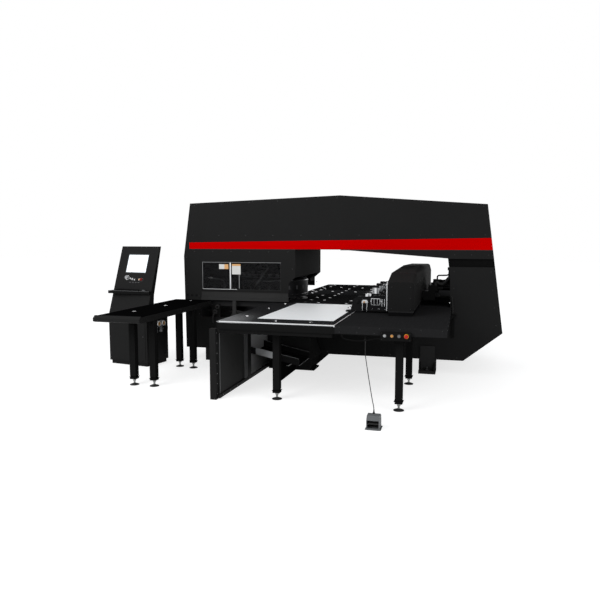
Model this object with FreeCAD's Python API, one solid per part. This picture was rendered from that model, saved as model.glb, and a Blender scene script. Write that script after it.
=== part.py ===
import FreeCAD, Part
import math
import os

V = FreeCAD.Vector

# Turret punch press. Millimetres, X to the operator's right, Y to the back, Z up.
# The origin is on the floor, midway between the four anchor bolts of the machine frame.

# ---- housing: outline of the closed frame, seen from the front ----
cover_depth = 1530.0
sheet = 4.0
cover_bottom = 180.0
left_foot_x = -2205.0
left_waist_x = -2220.0
left_waist_z = 1520.0
left_eave_x = -2110.0
left_eave_z = 2274.0
ridge_x = 90.0
ridge_z = 2348.0
right_eave_x = 1990.0
right_eave_z = 2202.0
right_corner_x = 2217.0
right_corner_z = 562.0
right_foot_x = 1740.0

# ---- throat, seen from the front ----
throat_top = 1621.0
throat_left_x = -537.0
throat_flat_x = 100.0
throat_drop = 108.0
throat_right_x = 1518.0
throat_knee_x = 1549.0
throat_knee_z = 1274.0
throat_base_x = 1560.0
base_top = 600.0
apron_top = 775.0
bay_left_x = -1955.0
bay_front_edge_z = 1010.0
bay_front_edge_x = -632.0
wall_slope_top = 1230.0
wall_slope_bottom = 1150.0
liner_foot_z = 1096.0
liner_notch_inset = 90.0
liner_notch_rise = 25.0

# ---- front covers ----
slot_left_x = -1960.0
side_apron_top = 640.0
side_apron_end_x = -890.0
band_bottom = 1404.0
band_top = 1509.0
band_depth = 28.0
vent_x = (-2170.0, -2100.0, -2030.0)
vent_z = 950.0
vent_radius = 11.0
stripe_bottom = 1625.0
stripe_left_x = -2130.0
stripe_left_z = 1715.0
stripe_mid_x = -180.0
stripe_mid_z = 1744.0
stripe_right_z = 1776.0
stripe_thickness = 2.0

# ---- window of the turret bay ----
window_left_x = -1925.0
window_right_x = -750.0
window_bottom = 1050.0
window_top = 1430.0
mullion_x = -1497.0
pane_lap = 12.0
pane_thickness = 4.0
pane_gap = 3.0
guide_margin = 5.0
guide_height = 20.0
guide_lip = 10.0
groove_depth = 10.0
grip_width = 24.0
grip_depth = 6.0

# ---- frame weldment ----
plate = 35.0
web = 30.0
deck = 40.0
shaft_foot = 20.0
access_radius = 90.0

# ---- pedestals and anchors ----
anchor_x = 1285.0
anchor_y = 825.0
anchor_radius = 14.0
anchor_flange = 40.0
anchor_flange_half = 110.0
anchor_flange_y = 865.0
shoe_wall = 25.0
left_base_x0 = -1900.0
left_base_x1 = -250.0
left_toe_x0 = -830.0
left_toe_half = 1060.0
left_flare = 90.0
toe_height = 28.0
toe_reach = 60.0
toe_nose_share = 0.6
flare_start_share = 0.6
left_horn_top = 450.0
right_base_x0 = 1175.0
right_base_x1 = 1395.0
right_base_back = 580.0
right_horn_top = 360.0
right_horn_inset = 15.0
right_horn_thickness = 20.0

# ---- turrets and their drive ----
turret_x = -1130.0
turret_radius = 560.0
station_radius = 440.0
station_count = 24
upper_turret_bottom = 915.0
upper_turret_top = 1200.0
upper_web = 85.0
lower_turret_bottom = 700.0
lower_turret_top = 868.0
lower_web = 60.0
pass_line = 880.0
die_radius = 50.0
die_gap = 0.6
recess_radius = 330.0
hub_radius = 130.0
turret_shaft_radius = 90.0
upper_bearing_bottom = 1330.0
bearing_wall = 60.0
bearing_clearance = 4.0
bearing_cap = 50.0
shaft_top_gap = 10.0
chamfer = 40.0
tool_radius = 36.0
tool_flange_radius = 42.0
tool_flange_height = 12.0
tool_spring_radius = 28.0
tool_head_radius = 34.0
tool_head_height = 15.0
tool_top = 1285.0
punch_radius = 18.0
ram_stroke = 32.0
pierce_depth = 1.5
ram_gap = 1.0
ram_radius = 50.0
ram_housing_half = 95.0
ram_bore_depth = 240.0
sprocket_radius = 200.0
sprocket_height = 24.0
lower_sprocket_z = 640.0
upper_sprocket_z = 1295.0
drive_x = -1500.0
drive_y = 640.0
drive_shaft_radius = 25.0
drive_sprocket_radius = 60.0
chain_thickness = 9.0
turret_motor_radius = 85.0
running = 0.3

# ---- tables ----
table_half_length = 2765.0
table_inner_y = 775.0
table_left_x = -880.0
table_right_x = 1570.0
table_split_x = 438.0
table_plate_top = 868.0
table_plate = 8.0
plain_plate = 20.0
plain_skin = 4.0
plain_skirt = 85.0
table_tube_height = 72.0
table_tube_width = 40.0
leg_beam_width = 90.0
bracket_x = (-640.0, 500.0, 1440.0)
bracket_drop = 50.0
corner_cut = 50.0
strip_width = 12.0
strip_height = 12.0
lower_rail_drop = 43.0
lower_rail_setback = 15.0
lower_rail_width = 24.0
centre_table_half = 690.0
centre_table_left = -1870.0
turret_gap = 20.0
post_size = 60.0
post_y = 560.0
post_x = (-1800.0, -200.0, 600.0, 1400.0)

# ---- legs and feet: x, y of each leg under the front table, rear table and side table ----
leg_size = 76.0
leg_bottom = 85.0
leg_taper = 30.0
leg_tip = 40.0
leg_beam_x = (-240.0, 1105.0)
leg_end_inset = 120.0
front_leg_inset = 215.0
outer_leg_y = table_half_length - leg_end_inset
inner_leg_y = 1470.0
front_legs = (
    (leg_beam_x[1], -outer_leg_y),
    (leg_beam_x[0], front_leg_inset - table_half_length),
    (leg_beam_x[1], -inner_leg_y),
)
corner_leg_x = -838.0
rear_legs = (
    (leg_beam_x[1], outer_leg_y),
    (leg_beam_x[0], outer_leg_y),
    (leg_beam_x[1], inner_leg_y),
    (corner_leg_x, outer_leg_y),
    (corner_leg_x, inner_leg_y),
)
side_leg_inset = 385.0
side_leg_y = side_leg_inset - table_half_length
side_legs = ((-2110.0, side_leg_y), (-1842.0, side_leg_y), (-2060.0, -1275.0), (-1835.0, -1316.0))
foot_radius = 54.0
foot_height = 20.0
stud_radius = 11.0

# ---- guard under the left edge of the front table ----
guard_post = 72.0
guard_post_x = -945.0
guard_rail = 40.0
guard_gap = 12.0
guard_back_y = -860.0
guard_mid_y = -1850.0
guard_mid_width = 120.0
guard_panel = 6.0

# ---- side table ----
side_x0 = -2360.0
side_x1 = -1800.0
side_inset = 5.0
side_front_y = side_inset - table_half_length
side_top = 885.0
side_plate = 8.0
side_rim_height = 72.0
side_rim_width = 30.0
side_lip = 40.0
lip_low = 12.0
lip_high = 22.0

# ---- scrap bin and the chute that lies on it, under the front table ----
bin_x0 = -540.0
bin_x1 = -446.0
bin_y0 = -1760.0
bin_wall = 3.0
bin_rim = 12.0
chute_x0 = -850.0
chute_x1 = -222.0
chute_y0 = -1700.0
chute_y1 = -1200.0
chute_wall = 4.0
chute_side = 85.0
chute_low_z = 196.0
chute_fall = 0.203

# ---- cross-beam and carriage ----
beam_x = 880.0
beam_width = 300.0
beam_half_length = 1865.0
beam_bottom = 935.0
beam_end_top = 1270.0
beam_facet_y = 1500.0
beam_facet_z = 1357.0
beam_crown_z = 1388.0
beam_round = 45.0
cheek_gap = 10.0
girder_inset = 50.0
girder_width = 200.0
girder_bottom = 960.0
girder_top = 1230.0
girder_wall = 12.0
girder_half_length = 1820.0
strap_y = (-1200.0, 0.0, 1200.0)
strap_half = 20.0
rail_depth = 35.0
rail_height = 25.0
rail_low_z = 985.0
rail_high_z = 1175.0
carriage_plate = 22.0
carriage_front_y = -1800.0
carriage_length = 1200.0
carriage_bottom = 955.0
carriage_top = 1235.0
bearing_block = 90.0
screw_radius = 16.0
screw_z = 1092.0
carriage_gap = 15.0
block_inset = 20.0
block_margin = 20.0
nut_half_length = 50.0
nut_half_height = 32.0
screw_motor = 90.0
screw_motor_length = 135.0
screw_end_y = girder_half_length - 105.0

# ---- base rails, saddles and beam screw ----
base_rail_y = 730.0
base_rail_width = 36.0
base_rail_height = 40.0
base_rail_x0 = -260.0
base_rail_x1 = 1520.0
saddle_length = 260.0
saddle_x = 900.0
saddle_block_height = 84.0
saddle_wall = 10.0
base_screw_y = 650.0
base_screw_z = 650.0
base_motor = 100.0
base_motor_length = 230.0

# ---- clamps and sheet ----
clamp_y = (-1570.0, -1220.0, -870.0)
clamp_width = 120.0
jaw_width = 72.0
jaw_tip_x = 342.0
jaw_root_x = 412.0
lower_jaw = 9.0
jaw_nose = 18.0
lever_tail = 70.0
jaw_slack = 30.0
clamp_lift = 10.0
clamp_height = 195.0
jaw_heel = 26.0
clamp_belly = 130.0
clamp_rise = 60.0
clamp_shoulder = 135.0
clamp_brow = 5.0
clamp_nose = 55.0
clamp_nose_drop = 35.0
clamp_chin = 30.0
heel_height = 12.0
mouth_depth = 30.0
slot_height = 20.0
pivot_x = 492.0
pivot_z = 1010.0
pivot_radius = 12.0
sheet_x0 = -490.0
sheet_x1 = 375.0
sheet_inset = 295.0
sheet_y0 = sheet_inset - table_half_length
sheet_y1 = -830.0
work_thickness = 2.0

# ---- end stops at the right column ----
stop_y = 600.0
stop_low_z = (955.0, 1071.0)
stop_high_z = (1075.0, 1153.0)
stop_low_x = (1206.0, 1359.0)
stop_high_x = (1276.0, 1395.0)
stop_depth = 90.0
stop_rod_radius = 14.0
stop_rod_low_z = 1000.0
stop_rod_high_z = 1121.0
hose_radius = 11.0
hose_bend = 60.0
hose_rise = 150.0
hose_lean = 6.0
hose_gland_low = 140.0
hose_gland_height = 40.0
hose_gland_half = 20.0
hose_gland_reach = 16.0
stop_rod_length = 300.0

# ---- operator console ----
console_x = -3124.0
console_y = -1337.0
console_turn = -10.0
console_width = 672.0
console_depth = 460.0
console_waist = 700.0
console_plinth = 50.0
console_plinth_inset = 20.0
console_wall = 3.0
console_lean = 324.0
console_top = 1660.0
head_base_depth = 150.0
head_top_depth = 28.0
head_bulge = 25.0
head_bulge_height = 290.0
screen_width = 346.0
screen_height = 254.0
screen_low_z = 1297.0
screen_depth = 10.0
shelf_front_y = 2.0
shelf_z = 1003.0
shelf_thickness = 40.0
shelf_skew = 70.0
keys_left = 90.0
keys_right = 190.0
keys_front = 58.0
keys_back = 106.0
pad_left = 150.0
pad_right = 60.0
pad_front = 72.0
pad_height = 6.0
keyboard_height = 14.0
dial_x = 205.0
dial_z = 1219.0
dial_radius = 27.0
dial_height = 26.0
dial_stem = 8.0
console_estop_x = 468.0
console_estop_z = 1197.0
mushroom_radius = 20.0
mushroom_stem = 11.0
push_stroke = 5.0
stem_depth = 18.0
mushroom_clearance = 4.0
mushroom_rim = 9.0
mushroom_dome = 4.0
mushroom_taper = 0.7

# ---- air service unit on the console's right side ----
air_y = 120.0
air_z = 560.0
air_width = 190.0
air_depth = 55.0
air_height = 60.0
bowl_radius = 26.0
bowl_length = 95.0
gauge_radius = 34.0
gauge_depth = 16.0
gauge_neck = 14.0
gauge_inset = 45.0
air_knob_radius = 20.0
air_knob_height = 34.0
bowl_offset = 2.0

# ---- button box under the front table ----
button_box_x0 = 929.0
button_box_x1 = 1228.0
button_box_bottom = 750.0
button_box_front = 35.0
button_box_back = 65.0
button_z = 800.0
button_x = (970.0, 1042.0, 1113.0)
button_radius = 14.0
button_cap = 9.0
button_stem = 9.0
button_bore = 29.0
box_estop_x = 1184.0
lead_radius = 5.0
lead_setback = 16.0
lead_x = (525.0, 575.0, 690.0, 820.0, 870.0)
lead_drop = (34.0, 52.0, 66.0, 46.0, 30.0)
lead_sway = 2.0
box_lip = 40.0
bore_margin = 4.0
cap_margin = 2.0

# ---- foot pedal ----
pedal_x = 940.0
pedal_reach = 515.0
pedal_y = -table_half_length - pedal_reach
pedal_width = 120.0
pedal_length = 160.0
pedal_height = 130.0
pedal_wall = 5.0
pedal_floor = 14.0
treadle_thickness = 12.0
treadle_z = 34.0
treadle_back = 26.0
treadle_front = 12.0
treadle_rise = 24.0
treadle_pin_radius = 5.0
cord_radius = 4.0
gland_radius = 8.0
cord_route = (
    (765.0, 29.0 - table_half_length, 742.0),
    (765.0, 29.0 - table_half_length, 690.0),
    (766.0, 23.0 - table_half_length, 632.0),
    (775.0, -10.0 - table_half_length, 562.0),
    (905.0, pedal_y + 118.0, 232.0),
    (925.0, pedal_y + 64.0, 198.0),
    (935.0, pedal_y + 28.0, 182.0),
    (935.0, pedal_y + 28.0, 142.0),
)


# ---- helpers ----
def box(x0, x1, y0, y1, z0, z1):
    return Part.makeBox(x1 - x0, y1 - y0, z1 - z0, V(x0, y0, z0))


def rod(x, y, z, radius, length, direction=(0, 0, 1)):
    return Part.makeCylinder(radius, length, V(x, y, z), V(*direction))


def cone(x, y, z, radius_1, radius_2, length, direction=(0, 0, 1)):
    return Part.makeCone(radius_1, radius_2, length, V(x, y, z), V(*direction))


def prism_xz(points, y0, y1):
    corners = [V(x, y0, z) for x, z in points]
    face = Part.Face(Part.makePolygon(corners + corners[:1]))
    return face.extrude(V(0, y1 - y0, 0))


def prism_yz(points, x0, x1):
    corners = [V(x0, y, z) for y, z in points]
    face = Part.Face(Part.makePolygon(corners + corners[:1]))
    return face.extrude(V(x1 - x0, 0, 0))


def prism_xy(points, z0, z1):
    corners = [V(x, y, z0) for x, y in points]
    face = Part.Face(Part.makePolygon(corners + corners[:1]))
    return face.extrude(V(0, 0, z1 - z0))


def joined(shapes):
    return shapes[0].fuse(shapes[1:]).removeSplitter()


def to_rear(shape):
    return shape.mirror(V(0, 0, 0), V(0, 1, 0))


def inset(points, distance):
    """Moves every edge of a clockwise outline inwards by distance."""
    result = []
    count = len(points)
    for i in range(count):
        (x0, z0), (x1, z1), (x2, z2) = points[i - 1], points[i], points[(i + 1) % count]
        a = math.atan2(z1 - z0, x1 - x0)
        b = math.atan2(z2 - z1, x2 - x1)
        turn = (b - a) / 2
        reach = distance / math.cos(turn)
        middle = a + turn - math.pi / 2
        if abs(b - a) > math.pi:
            middle += math.pi
            reach = -reach
        result.append((x1 + reach * math.cos(middle), z1 + reach * math.sin(middle)))
    return result


def pull_path(points, radius_share=0.45):
    """A wire of straight runs joined by the largest tangent arcs, and its smallest bend radius."""
    knots = [V(*p) for p in points]
    edges = []
    start = knots[0]
    smallest = None
    for i in range(1, len(knots) - 1):
        back = knots[i - 1] - knots[i]
        ahead = knots[i + 1] - knots[i]
        shorter = min(back.Length, ahead.Length)
        back_dir = V(back).normalize()
        ahead_dir = V(ahead).normalize()
        half = (math.pi - back_dir.getAngle(ahead_dir)) / 2
        cut = radius_share * shorter
        radius = cut / math.tan(half)
        smallest = radius if smallest is None else min(smallest, radius)
        first = knots[i] + back_dir * cut
        last = knots[i] + ahead_dir * cut
        inward = (back_dir + ahead_dir).normalize()
        apex = knots[i] + inward * (radius / math.cos(half) - radius)
        edges.append(Part.LineSegment(start, first).toShape())
        edges.append(Part.Arc(first, apex, last).toShape())
        start = last
    edges.append(Part.LineSegment(start, knots[-1]).toShape())
    return Part.Wire(edges), smallest


def tube_along(points, radius):
    wire, smallest = pull_path(points)
    direction = V(*points[1]) - V(*points[0])
    profile = Part.Wire(Part.makeCircle(radius, V(*points[0]), direction))
    tube = wire.makePipeShell([profile], True, False)
    return tube, wire.Length, smallest


# ---- values worked out from the dimensions above ----
front_y = -cover_depth / 2
inner_y = front_y + sheet
outline = (
    (left_foot_x, cover_bottom),
    (left_waist_x, left_waist_z),
    (left_eave_x, left_eave_z),
    (ridge_x, ridge_z),
    (right_eave_x, right_eave_z),
    (right_corner_x, right_corner_z),
    (right_foot_x, cover_bottom),
)
far = 10000.0
throat_right_top = throat_top - throat_drop
punch_x = turret_x + station_radius
girder_x0 = beam_x + girder_inset
girder_x1 = girder_x0 + girder_width
table_under = table_plate_top - table_plate
frame_under = table_under - table_tube_height
plain_top = pass_line
punch_tip_z = pass_line - pierce_depth + ram_stroke


def wall_x(z):
    """X of the bay wall's throat side at height z: upright, a short slope, then upright again."""
    share = (wall_slope_top - z) / (wall_slope_top - wall_slope_bottom)
    return throat_left_x + (bay_front_edge_x - throat_left_x) * min(1.0, max(0.0, share))


wall_bend = ((bay_front_edge_x, wall_slope_bottom), (throat_left_x, wall_slope_top))


def right_edge_x(z):
    slope = (right_corner_x - right_eave_x) / (right_eave_z - right_corner_z)
    return right_eave_x + (right_eave_z - z) * slope


throat_line = (
    (throat_left_x, throat_top),
    (throat_flat_x, throat_top),
    (throat_right_x, throat_right_top),
    (throat_knee_x, throat_knee_z),
    (throat_base_x, apron_top),
    (throat_base_x, base_top),
)


def grown(points, dx, dz):
    """The throat line moved out by one sheet: the ceiling up and the right wall to the right."""
    (left_x, top_z), (flat_x, _), (right_x, right_z) = points[:3]
    moved = [(left_x - dx, top_z + dz), (flat_x, top_z + dz), (right_x + dx, right_z + dz)]
    return tuple(moved + [(x + dx, z) for x, z in points[3:]])


# ---- housing ----
def band_pocket(back_y):
    """The space of the recessed band, from the cover's front face back to back_y."""
    inside = prism_xz(inset(outline, sheet), -far, far)
    band = box(throat_right_x, far, front_y, back_y, band_bottom, band_top)
    return band.common(inside).cut(prism_xz(throat_opening(), -far, far))


def throat_opening():
    """The frame's opening: the turret bay and the throat with its liner's thickness."""
    corner = ((bay_left_x, base_top), (bay_left_x, throat_top + sheet))
    return corner + grown(throat_line, sheet, sheet)


def frame_weldment():
    """Box sections that butt on each other: two columns, the bed, the top and the haunch, with their bearings."""
    half = -inner_y
    body = prism_xz(inset(outline, sheet), -half, half)
    sole_x0 = left_foot_x + sheet * 2
    sole_x1 = right_foot_x - sheet * 4
    sole = box(sole_x0, sole_x1, -half, half, cover_bottom, cover_bottom + sheet)
    body = body.fuse(sole).cut([prism_xz(throat_opening(), -far, far), band_pocket(front_y + band_depth)])
    cavity_half = half - plate
    core = prism_xz(inset(outline, sheet + web), -cavity_half, cavity_half)
    right_wall_x = throat_base_x + sheet
    ceiling = throat_top + sheet
    rooms = [
        box(-far, bay_left_x - web, -far, far, -far, far),
        box(right_wall_x + web, far, -far, far, -far, far),
        box(bay_left_x, throat_right_x, -far, far, ceiling + web, far),
        box(bay_left_x, right_wall_x, -far, far, -far, base_top - deck),
    ]
    cavities = [core.common(room) for room in rooms]
    low_z = (cover_bottom + base_top) / 2
    high_z = (ceiling + left_eave_z) / 2
    access = (
        ((left_waist_x + bay_left_x) / 2, (throat_top + base_top) / 2),
        ((throat_base_x + right_corner_x) / 2, (throat_top + base_top) / 2),
        (bay_left_x / 2, high_z),
        (throat_right_x / 2, high_z),
        (bay_left_x / 2, low_z),
        (throat_right_x / 2, low_z),
    )
    holes = [rod(x, cavity_half - 1, z, access_radius, plate + 2, (0, 1, 0)) for x, z in access]
    bore = turret_shaft_radius + running
    shaft_bore = rod(turret_x, 0, base_top - shaft_foot, bore, ceiling - bearing_cap - base_top + shaft_foot)
    drive_bore = rod(drive_x, drive_y, base_top, drive_shaft_radius + running, far)
    body = body.cut(cavities + holes + [shaft_bore])
    sections = (
        box(-far, bay_left_x, -far, far, -far, far),
        box(bay_left_x, throat_right_x, -far, far, -far, base_top),
        box(bay_left_x, throat_flat_x, -far, far, base_top, far),
        box(throat_flat_x, throat_right_x, -far, far, base_top, far),
        box(throat_right_x, far, -far, far, -far, far),
    )
    bearing_radius = turret_shaft_radius + bearing_wall
    low_seat = lower_sprocket_z - bearing_clearance
    bearings = (
        rod(turret_x, 0, upper_bearing_bottom, bearing_radius, ceiling - upper_bearing_bottom),
        rod(turret_x, 0, base_top, bearing_radius, low_seat - base_top),
        rod(drive_x, drive_y, base_top, drive_shaft_radius * 2, low_seat - base_top),
    )
    solids = [body.common(section).removeSplitter() for section in sections]
    return solids + [bearing.cut([shaft_bore, drive_bore]) for bearing in bearings]


def roof_cover():
    outer = prism_xz(outline, inner_y, -inner_y)
    inner = prism_xz(inset(outline, sheet), inner_y, -inner_y)
    skin = outer.cut([inner, box(-far, far, -far, far, -far, cover_bottom + sheet)])
    return skin


def throat_liner():
    wall_side = ((wall_x(liner_foot_z), liner_foot_z),) + wall_bend
    metal_side = grown(throat_line, sheet, sheet)
    back = tuple(reversed(metal_side)) + tuple((x - sheet, z) for x, z in reversed(wall_side))
    liner = prism_xz(wall_side + throat_line + back, inner_y, -inner_y)
    turret_cut = box(-far, 0, -far, turret_radius - liner_notch_inset, -far, upper_turret_top + liner_notch_rise)
    return liner.cut(turret_cut)


def front_skin():
    return prism_xz(outline, front_y, inner_y)


def throat_prism():
    points = ((-far, base_top - far), (-far, bay_front_edge_z), (bay_front_edge_x, bay_front_edge_z))
    points += wall_bend + throat_line[:-1] + ((throat_base_x, base_top - far),)
    return prism_xz(points, -far, far)


def upper_cover():
    return front_skin().common(box(-far, far, -far, far, throat_top, far))


def apron_cover():
    low = box(-far, side_apron_end_x, -far, far, 0, side_apron_top)
    high = box(side_apron_end_x, throat_base_x, -far, far, 0, apron_top)
    return front_skin().common(joined([low, high]))


def column_cover():
    skin = front_skin().cut(throat_prism()).common(box(throat_flat_x, far, -far, far, 0, throat_top))
    return skin


def front_covers():
    return [upper_cover(), apron_cover()]


def joggled_column_cover():
    """The column cover with its band folded back into the frame's pocket."""
    back_y = front_y + band_depth
    pocket = band_pocket(back_y)
    hollow = box(-far, far, -far, back_y - sheet, band_bottom + sheet, band_top - sheet)
    window = box(throat_right_x, far, -far, far, band_bottom + sheet, band_top - sheet)
    return joined([column_cover().cut(window), pocket.cut(hollow)])


def turret_panel():
    upper = box(-far, 0, -far, far, bay_front_edge_z, throat_top)
    side = box(-far, slot_left_x, -far, far, side_apron_top, bay_front_edge_z)
    edge = (
        (-far, -far),
        (-far, throat_top),
        (throat_left_x, throat_top),
        (throat_left_x, wall_slope_top),
        (bay_front_edge_x, wall_slope_bottom),
        (bay_front_edge_x, -far),
    )
    panel = front_skin().common(joined([upper, side])).common(prism_xz(edge, -far, far))
    vents = [rod(x, front_y - 1, vent_z, vent_radius, sheet + 2, (0, 1, 0)) for x in vent_x]
    return panel.cut(vents)


pane_y = inner_y + pane_thickness + pane_gap
pane_back_y = pane_y + pane_thickness
guide_low_z = window_bottom - guide_margin
guide_high_z = window_top + guide_margin


def turret_cover():
    """The bay's front sheet with its window opening and the two grooved guides behind it."""
    aperture = box(window_left_x, window_right_x, -far, far, window_bottom, window_top)
    x0 = window_left_x - pane_lap
    x1 = window_right_x + pane_lap
    back_y = pane_back_y + guide_lip
    groove_y0 = pane_y - running
    groove_y1 = pane_back_y + running
    low = box(x0, x1, inner_y, back_y, guide_low_z - guide_height, guide_low_z)
    low = low.cut(box(-far, far, groove_y0, groove_y1, guide_low_z - groove_depth, far))
    high = box(x0, x1, inner_y, back_y, guide_high_z, guide_high_z + guide_height)
    high = high.cut(box(-far, far, groove_y0, groove_y1, -far, guide_high_z + groove_depth))
    return joined([turret_panel().cut(aperture), low, high])


def fixed_window():
    x0 = window_left_x - pane_lap
    x1 = mullion_x + pane_lap
    return box(x0, x1, inner_y, inner_y + pane_thickness, guide_low_z, guide_high_z)


def window_pane():
    z0 = guide_low_z - groove_depth + running
    z1 = guide_high_z + groove_depth - running
    x0 = mullion_x + pane_lap + 1
    glass = box(x0, window_right_x + pane_lap, pane_y, pane_back_y, z0, z1)
    grip = box(x0, x0 + grip_width, pane_back_y, pane_back_y + grip_depth, window_bottom, window_top)
    return joined([glass, grip])


def red_stripe():
    points = (
        (stripe_left_x, stripe_bottom),
        (stripe_left_x, stripe_left_z),
        (stripe_mid_x, stripe_mid_z),
        (right_edge_x(stripe_right_z), stripe_right_z),
        (right_edge_x(stripe_bottom), stripe_bottom),
    )
    return prism_xz(points, front_y - stripe_thickness, front_y)


def rear_covers():
    return [to_rear(s) for s in (upper_cover(), turret_panel(), column_cover(), apron_cover())]


def shoe_block(x0, x1, y0, y1):
    """A welded shoe open to the floor."""
    w = shoe_wall
    outer = box(x0, x1, y0, y1, 0, cover_bottom)
    return outer.cut(box(x0 + w, x1 - w, y0 + w, y1 - w, -1, cover_bottom - w))


def left_toe():
    """The forward toe beside the left shoe, with its flared right side and the horn above it."""
    w = shoe_wall
    profile = (
        (left_toe_x0, 0),
        (left_base_x1 + toe_reach, 0),
        (left_base_x1 + toe_reach, toe_height * toe_nose_share),
        (left_base_x1, toe_height),
        (left_base_x1, cover_bottom * flare_start_share),
        (left_base_x1 + left_flare, cover_bottom),
        (left_base_x1, left_horn_top),
        (left_toe_x0, left_horn_top),
    )
    outer = prism_xz(profile, -left_toe_half, front_y)
    room_x1 = left_base_x1 - w
    return outer.cut(box(left_toe_x0 + w, room_x1, -left_toe_half + w, front_y - w, -1, left_horn_top - w))


def anchor_pad(x):
    half = anchor_flange_half
    return box(x - half, x + half, -anchor_flange_y, front_y, 0, anchor_flange)


def pedestals():
    half = -front_y
    toe = left_toe()
    pad = anchor_pad(-anchor_x)
    left = joined([shoe_block(left_base_x0, left_base_x1, -half, half), toe, to_rear(toe), pad, to_rear(pad)])
    horn_y = front_y - right_horn_thickness
    foot = shoe_block(right_base_x0, right_base_x1, horn_y, -right_base_back)
    plate_x0 = right_base_x0 + right_horn_inset
    plate_x1 = right_base_x1 - right_horn_inset
    plate_up = box(plate_x0, plate_x1, horn_y, front_y, cover_bottom - 1, right_horn_top)
    foot = joined([foot, plate_up, anchor_pad(anchor_x)])
    bolts = [
        rod(sx * anchor_x, sy * anchor_y, -1, anchor_radius, anchor_flange + 2)
        for sx in (-1, 1)
        for sy in (-1, 1)
    ]
    return [solid.cut(bolts) for solid in (left, foot, to_rear(foot))]


def end_stops():
    solids = []
    throat = prism_xz(throat_line + ((0, base_top), (0, throat_top)), -far, far)
    y0 = -stop_y - stop_depth / 2
    low = box(*stop_low_x, y0, y0 + stop_depth, *stop_low_z)
    high = box(*stop_high_x, y0, y0 + stop_depth, stop_low_z[1], stop_high_z[1])
    rods = [
        rod(stop_low_x[1] - 1, -stop_y, stop_rod_low_z, stop_rod_radius, stop_rod_length, (1, 0, 0)),
        rod(stop_high_x[1] - 1, -stop_y, stop_rod_high_z, stop_rod_radius, stop_rod_length, (1, 0, 0)),
    ]
    rods = [r.common(throat) for r in rods]
    hose_x = (stop_high_x[0] + stop_high_x[1]) / 2
    turn_x = throat_knee_x - hose_radius - 8
    top = stop_high_z[1]
    route = (
        (hose_x, -stop_y, top - 1),
        (hose_x, -stop_y, top + hose_bend),
        (turn_x, -stop_y, top + hose_bend + hose_lean),
        (turn_x + hose_lean, -stop_y, top + hose_bend + hose_rise),
    )
    hose = tube_along(route, hose_radius)[0].common(throat)
    gland_z = top + hose_bend + hose_gland_low
    gland_y0 = -stop_y - hose_gland_half
    gland_y1 = -stop_y + hose_gland_half
    gland = box(turn_x - hose_gland_reach, far, gland_y0, gland_y1, gland_z, gland_z + hose_gland_height)
    gland = gland.common(throat)
    front_stop = joined([low, high] + rods + [hose, gland])
    solids = [front_stop, to_rear(front_stop)]
    return solids


# ---- turrets ----
def at_station(index, radius=None):
    angle = 2 * math.pi * index / station_count
    r = station_radius if radius is None else radius
    return turret_x + r * math.cos(angle), r * math.sin(angle)


def upper_turret():
    """The drum with its tool bores, and the spindle that stands on the drum's web."""
    height = upper_turret_top - upper_turret_bottom
    web_top = upper_turret_bottom + upper_web
    drum = rod(turret_x, 0, upper_turret_bottom, turret_radius, height - chamfer)
    brow = cone(turret_x, 0, upper_turret_top - chamfer, turret_radius, turret_radius - chamfer, chamfer)
    recess = rod(turret_x, 0, web_top, recess_radius, far)
    bores = [
        rod(*at_station(i), upper_turret_bottom - 1, tool_radius + running, height + 2)
        for i in range(station_count)
    ]
    drum = joined([drum, brow]).cut([recess] + bores)
    hub = rod(turret_x, 0, web_top, hub_radius, upper_sprocket_z + sprocket_height - web_top)
    shaft_top = throat_top + sheet - bearing_cap - shaft_top_gap
    shaft = rod(turret_x, 0, web_top, turret_shaft_radius, shaft_top - web_top)
    sprocket = rod(turret_x, 0, upper_sprocket_z, sprocket_radius, sprocket_height)
    return [drum, joined([hub, shaft, sprocket])]


def punch_tools():
    """Every station's tool with its head down by the ram's stroke, and the guide of the one under the ram."""
    tools = []
    body_z = upper_turret_bottom + 2
    flange_top = upper_turret_top + tool_flange_height
    head_z = tool_top - ram_stroke - tool_head_height
    for i in range(station_count):
        x, y = at_station(i)
        body = rod(x, y, body_z, tool_radius, upper_turret_top - body_z)
        flange = rod(x, y, upper_turret_top, tool_flange_radius, tool_flange_height)
        if i == 0:
            guide = joined([body, flange])
            tools.append(guide.cut(rod(x, y, body_z - 1, punch_radius + running, far)))
            continue
        spring = rod(x, y, flange_top, tool_spring_radius, head_z - flange_top)
        head = rod(x, y, head_z, tool_head_radius, tool_head_height)
        tools.append(joined([body, flange, spring, head]))
    return tools


def active_punch():
    x, y = at_station(0)
    stem = rod(x, y, punch_tip_z, punch_radius, tool_top - tool_head_height - punch_tip_z)
    head = rod(x, y, tool_top - tool_head_height, tool_head_radius, tool_head_height)
    return joined([stem, head])


def lower_turret():
    """The drum with its dies, and the spindle that carries the drum's web."""
    height = lower_turret_top - lower_turret_bottom
    web_z = lower_turret_top - lower_web
    die_z = lower_turret_top - 1
    drum = rod(turret_x, 0, lower_turret_bottom, turret_radius, height)
    recess = rod(turret_x, 0, lower_turret_bottom - 1, recess_radius, height - lower_web + 1)
    dies = [rod(*at_station(i), die_z, die_radius, pass_line - die_gap - die_z) for i in range(station_count)]
    bores = [rod(*at_station(i), 0, punch_radius + running * 2, far) for i in range(station_count)]
    drum = joined([drum.cut(recess)] + dies).cut(bores)
    hub = rod(turret_x, 0, lower_sprocket_z, hub_radius, web_z - lower_sprocket_z)
    shaft_z = base_top - shaft_foot + 1
    shaft = rod(turret_x, 0, shaft_z, turret_shaft_radius, web_z - shaft_z)
    sprocket = rod(turret_x, 0, lower_sprocket_z, sprocket_radius, sprocket_height)
    return [drum, joined([hub, shaft, sprocket])]


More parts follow.
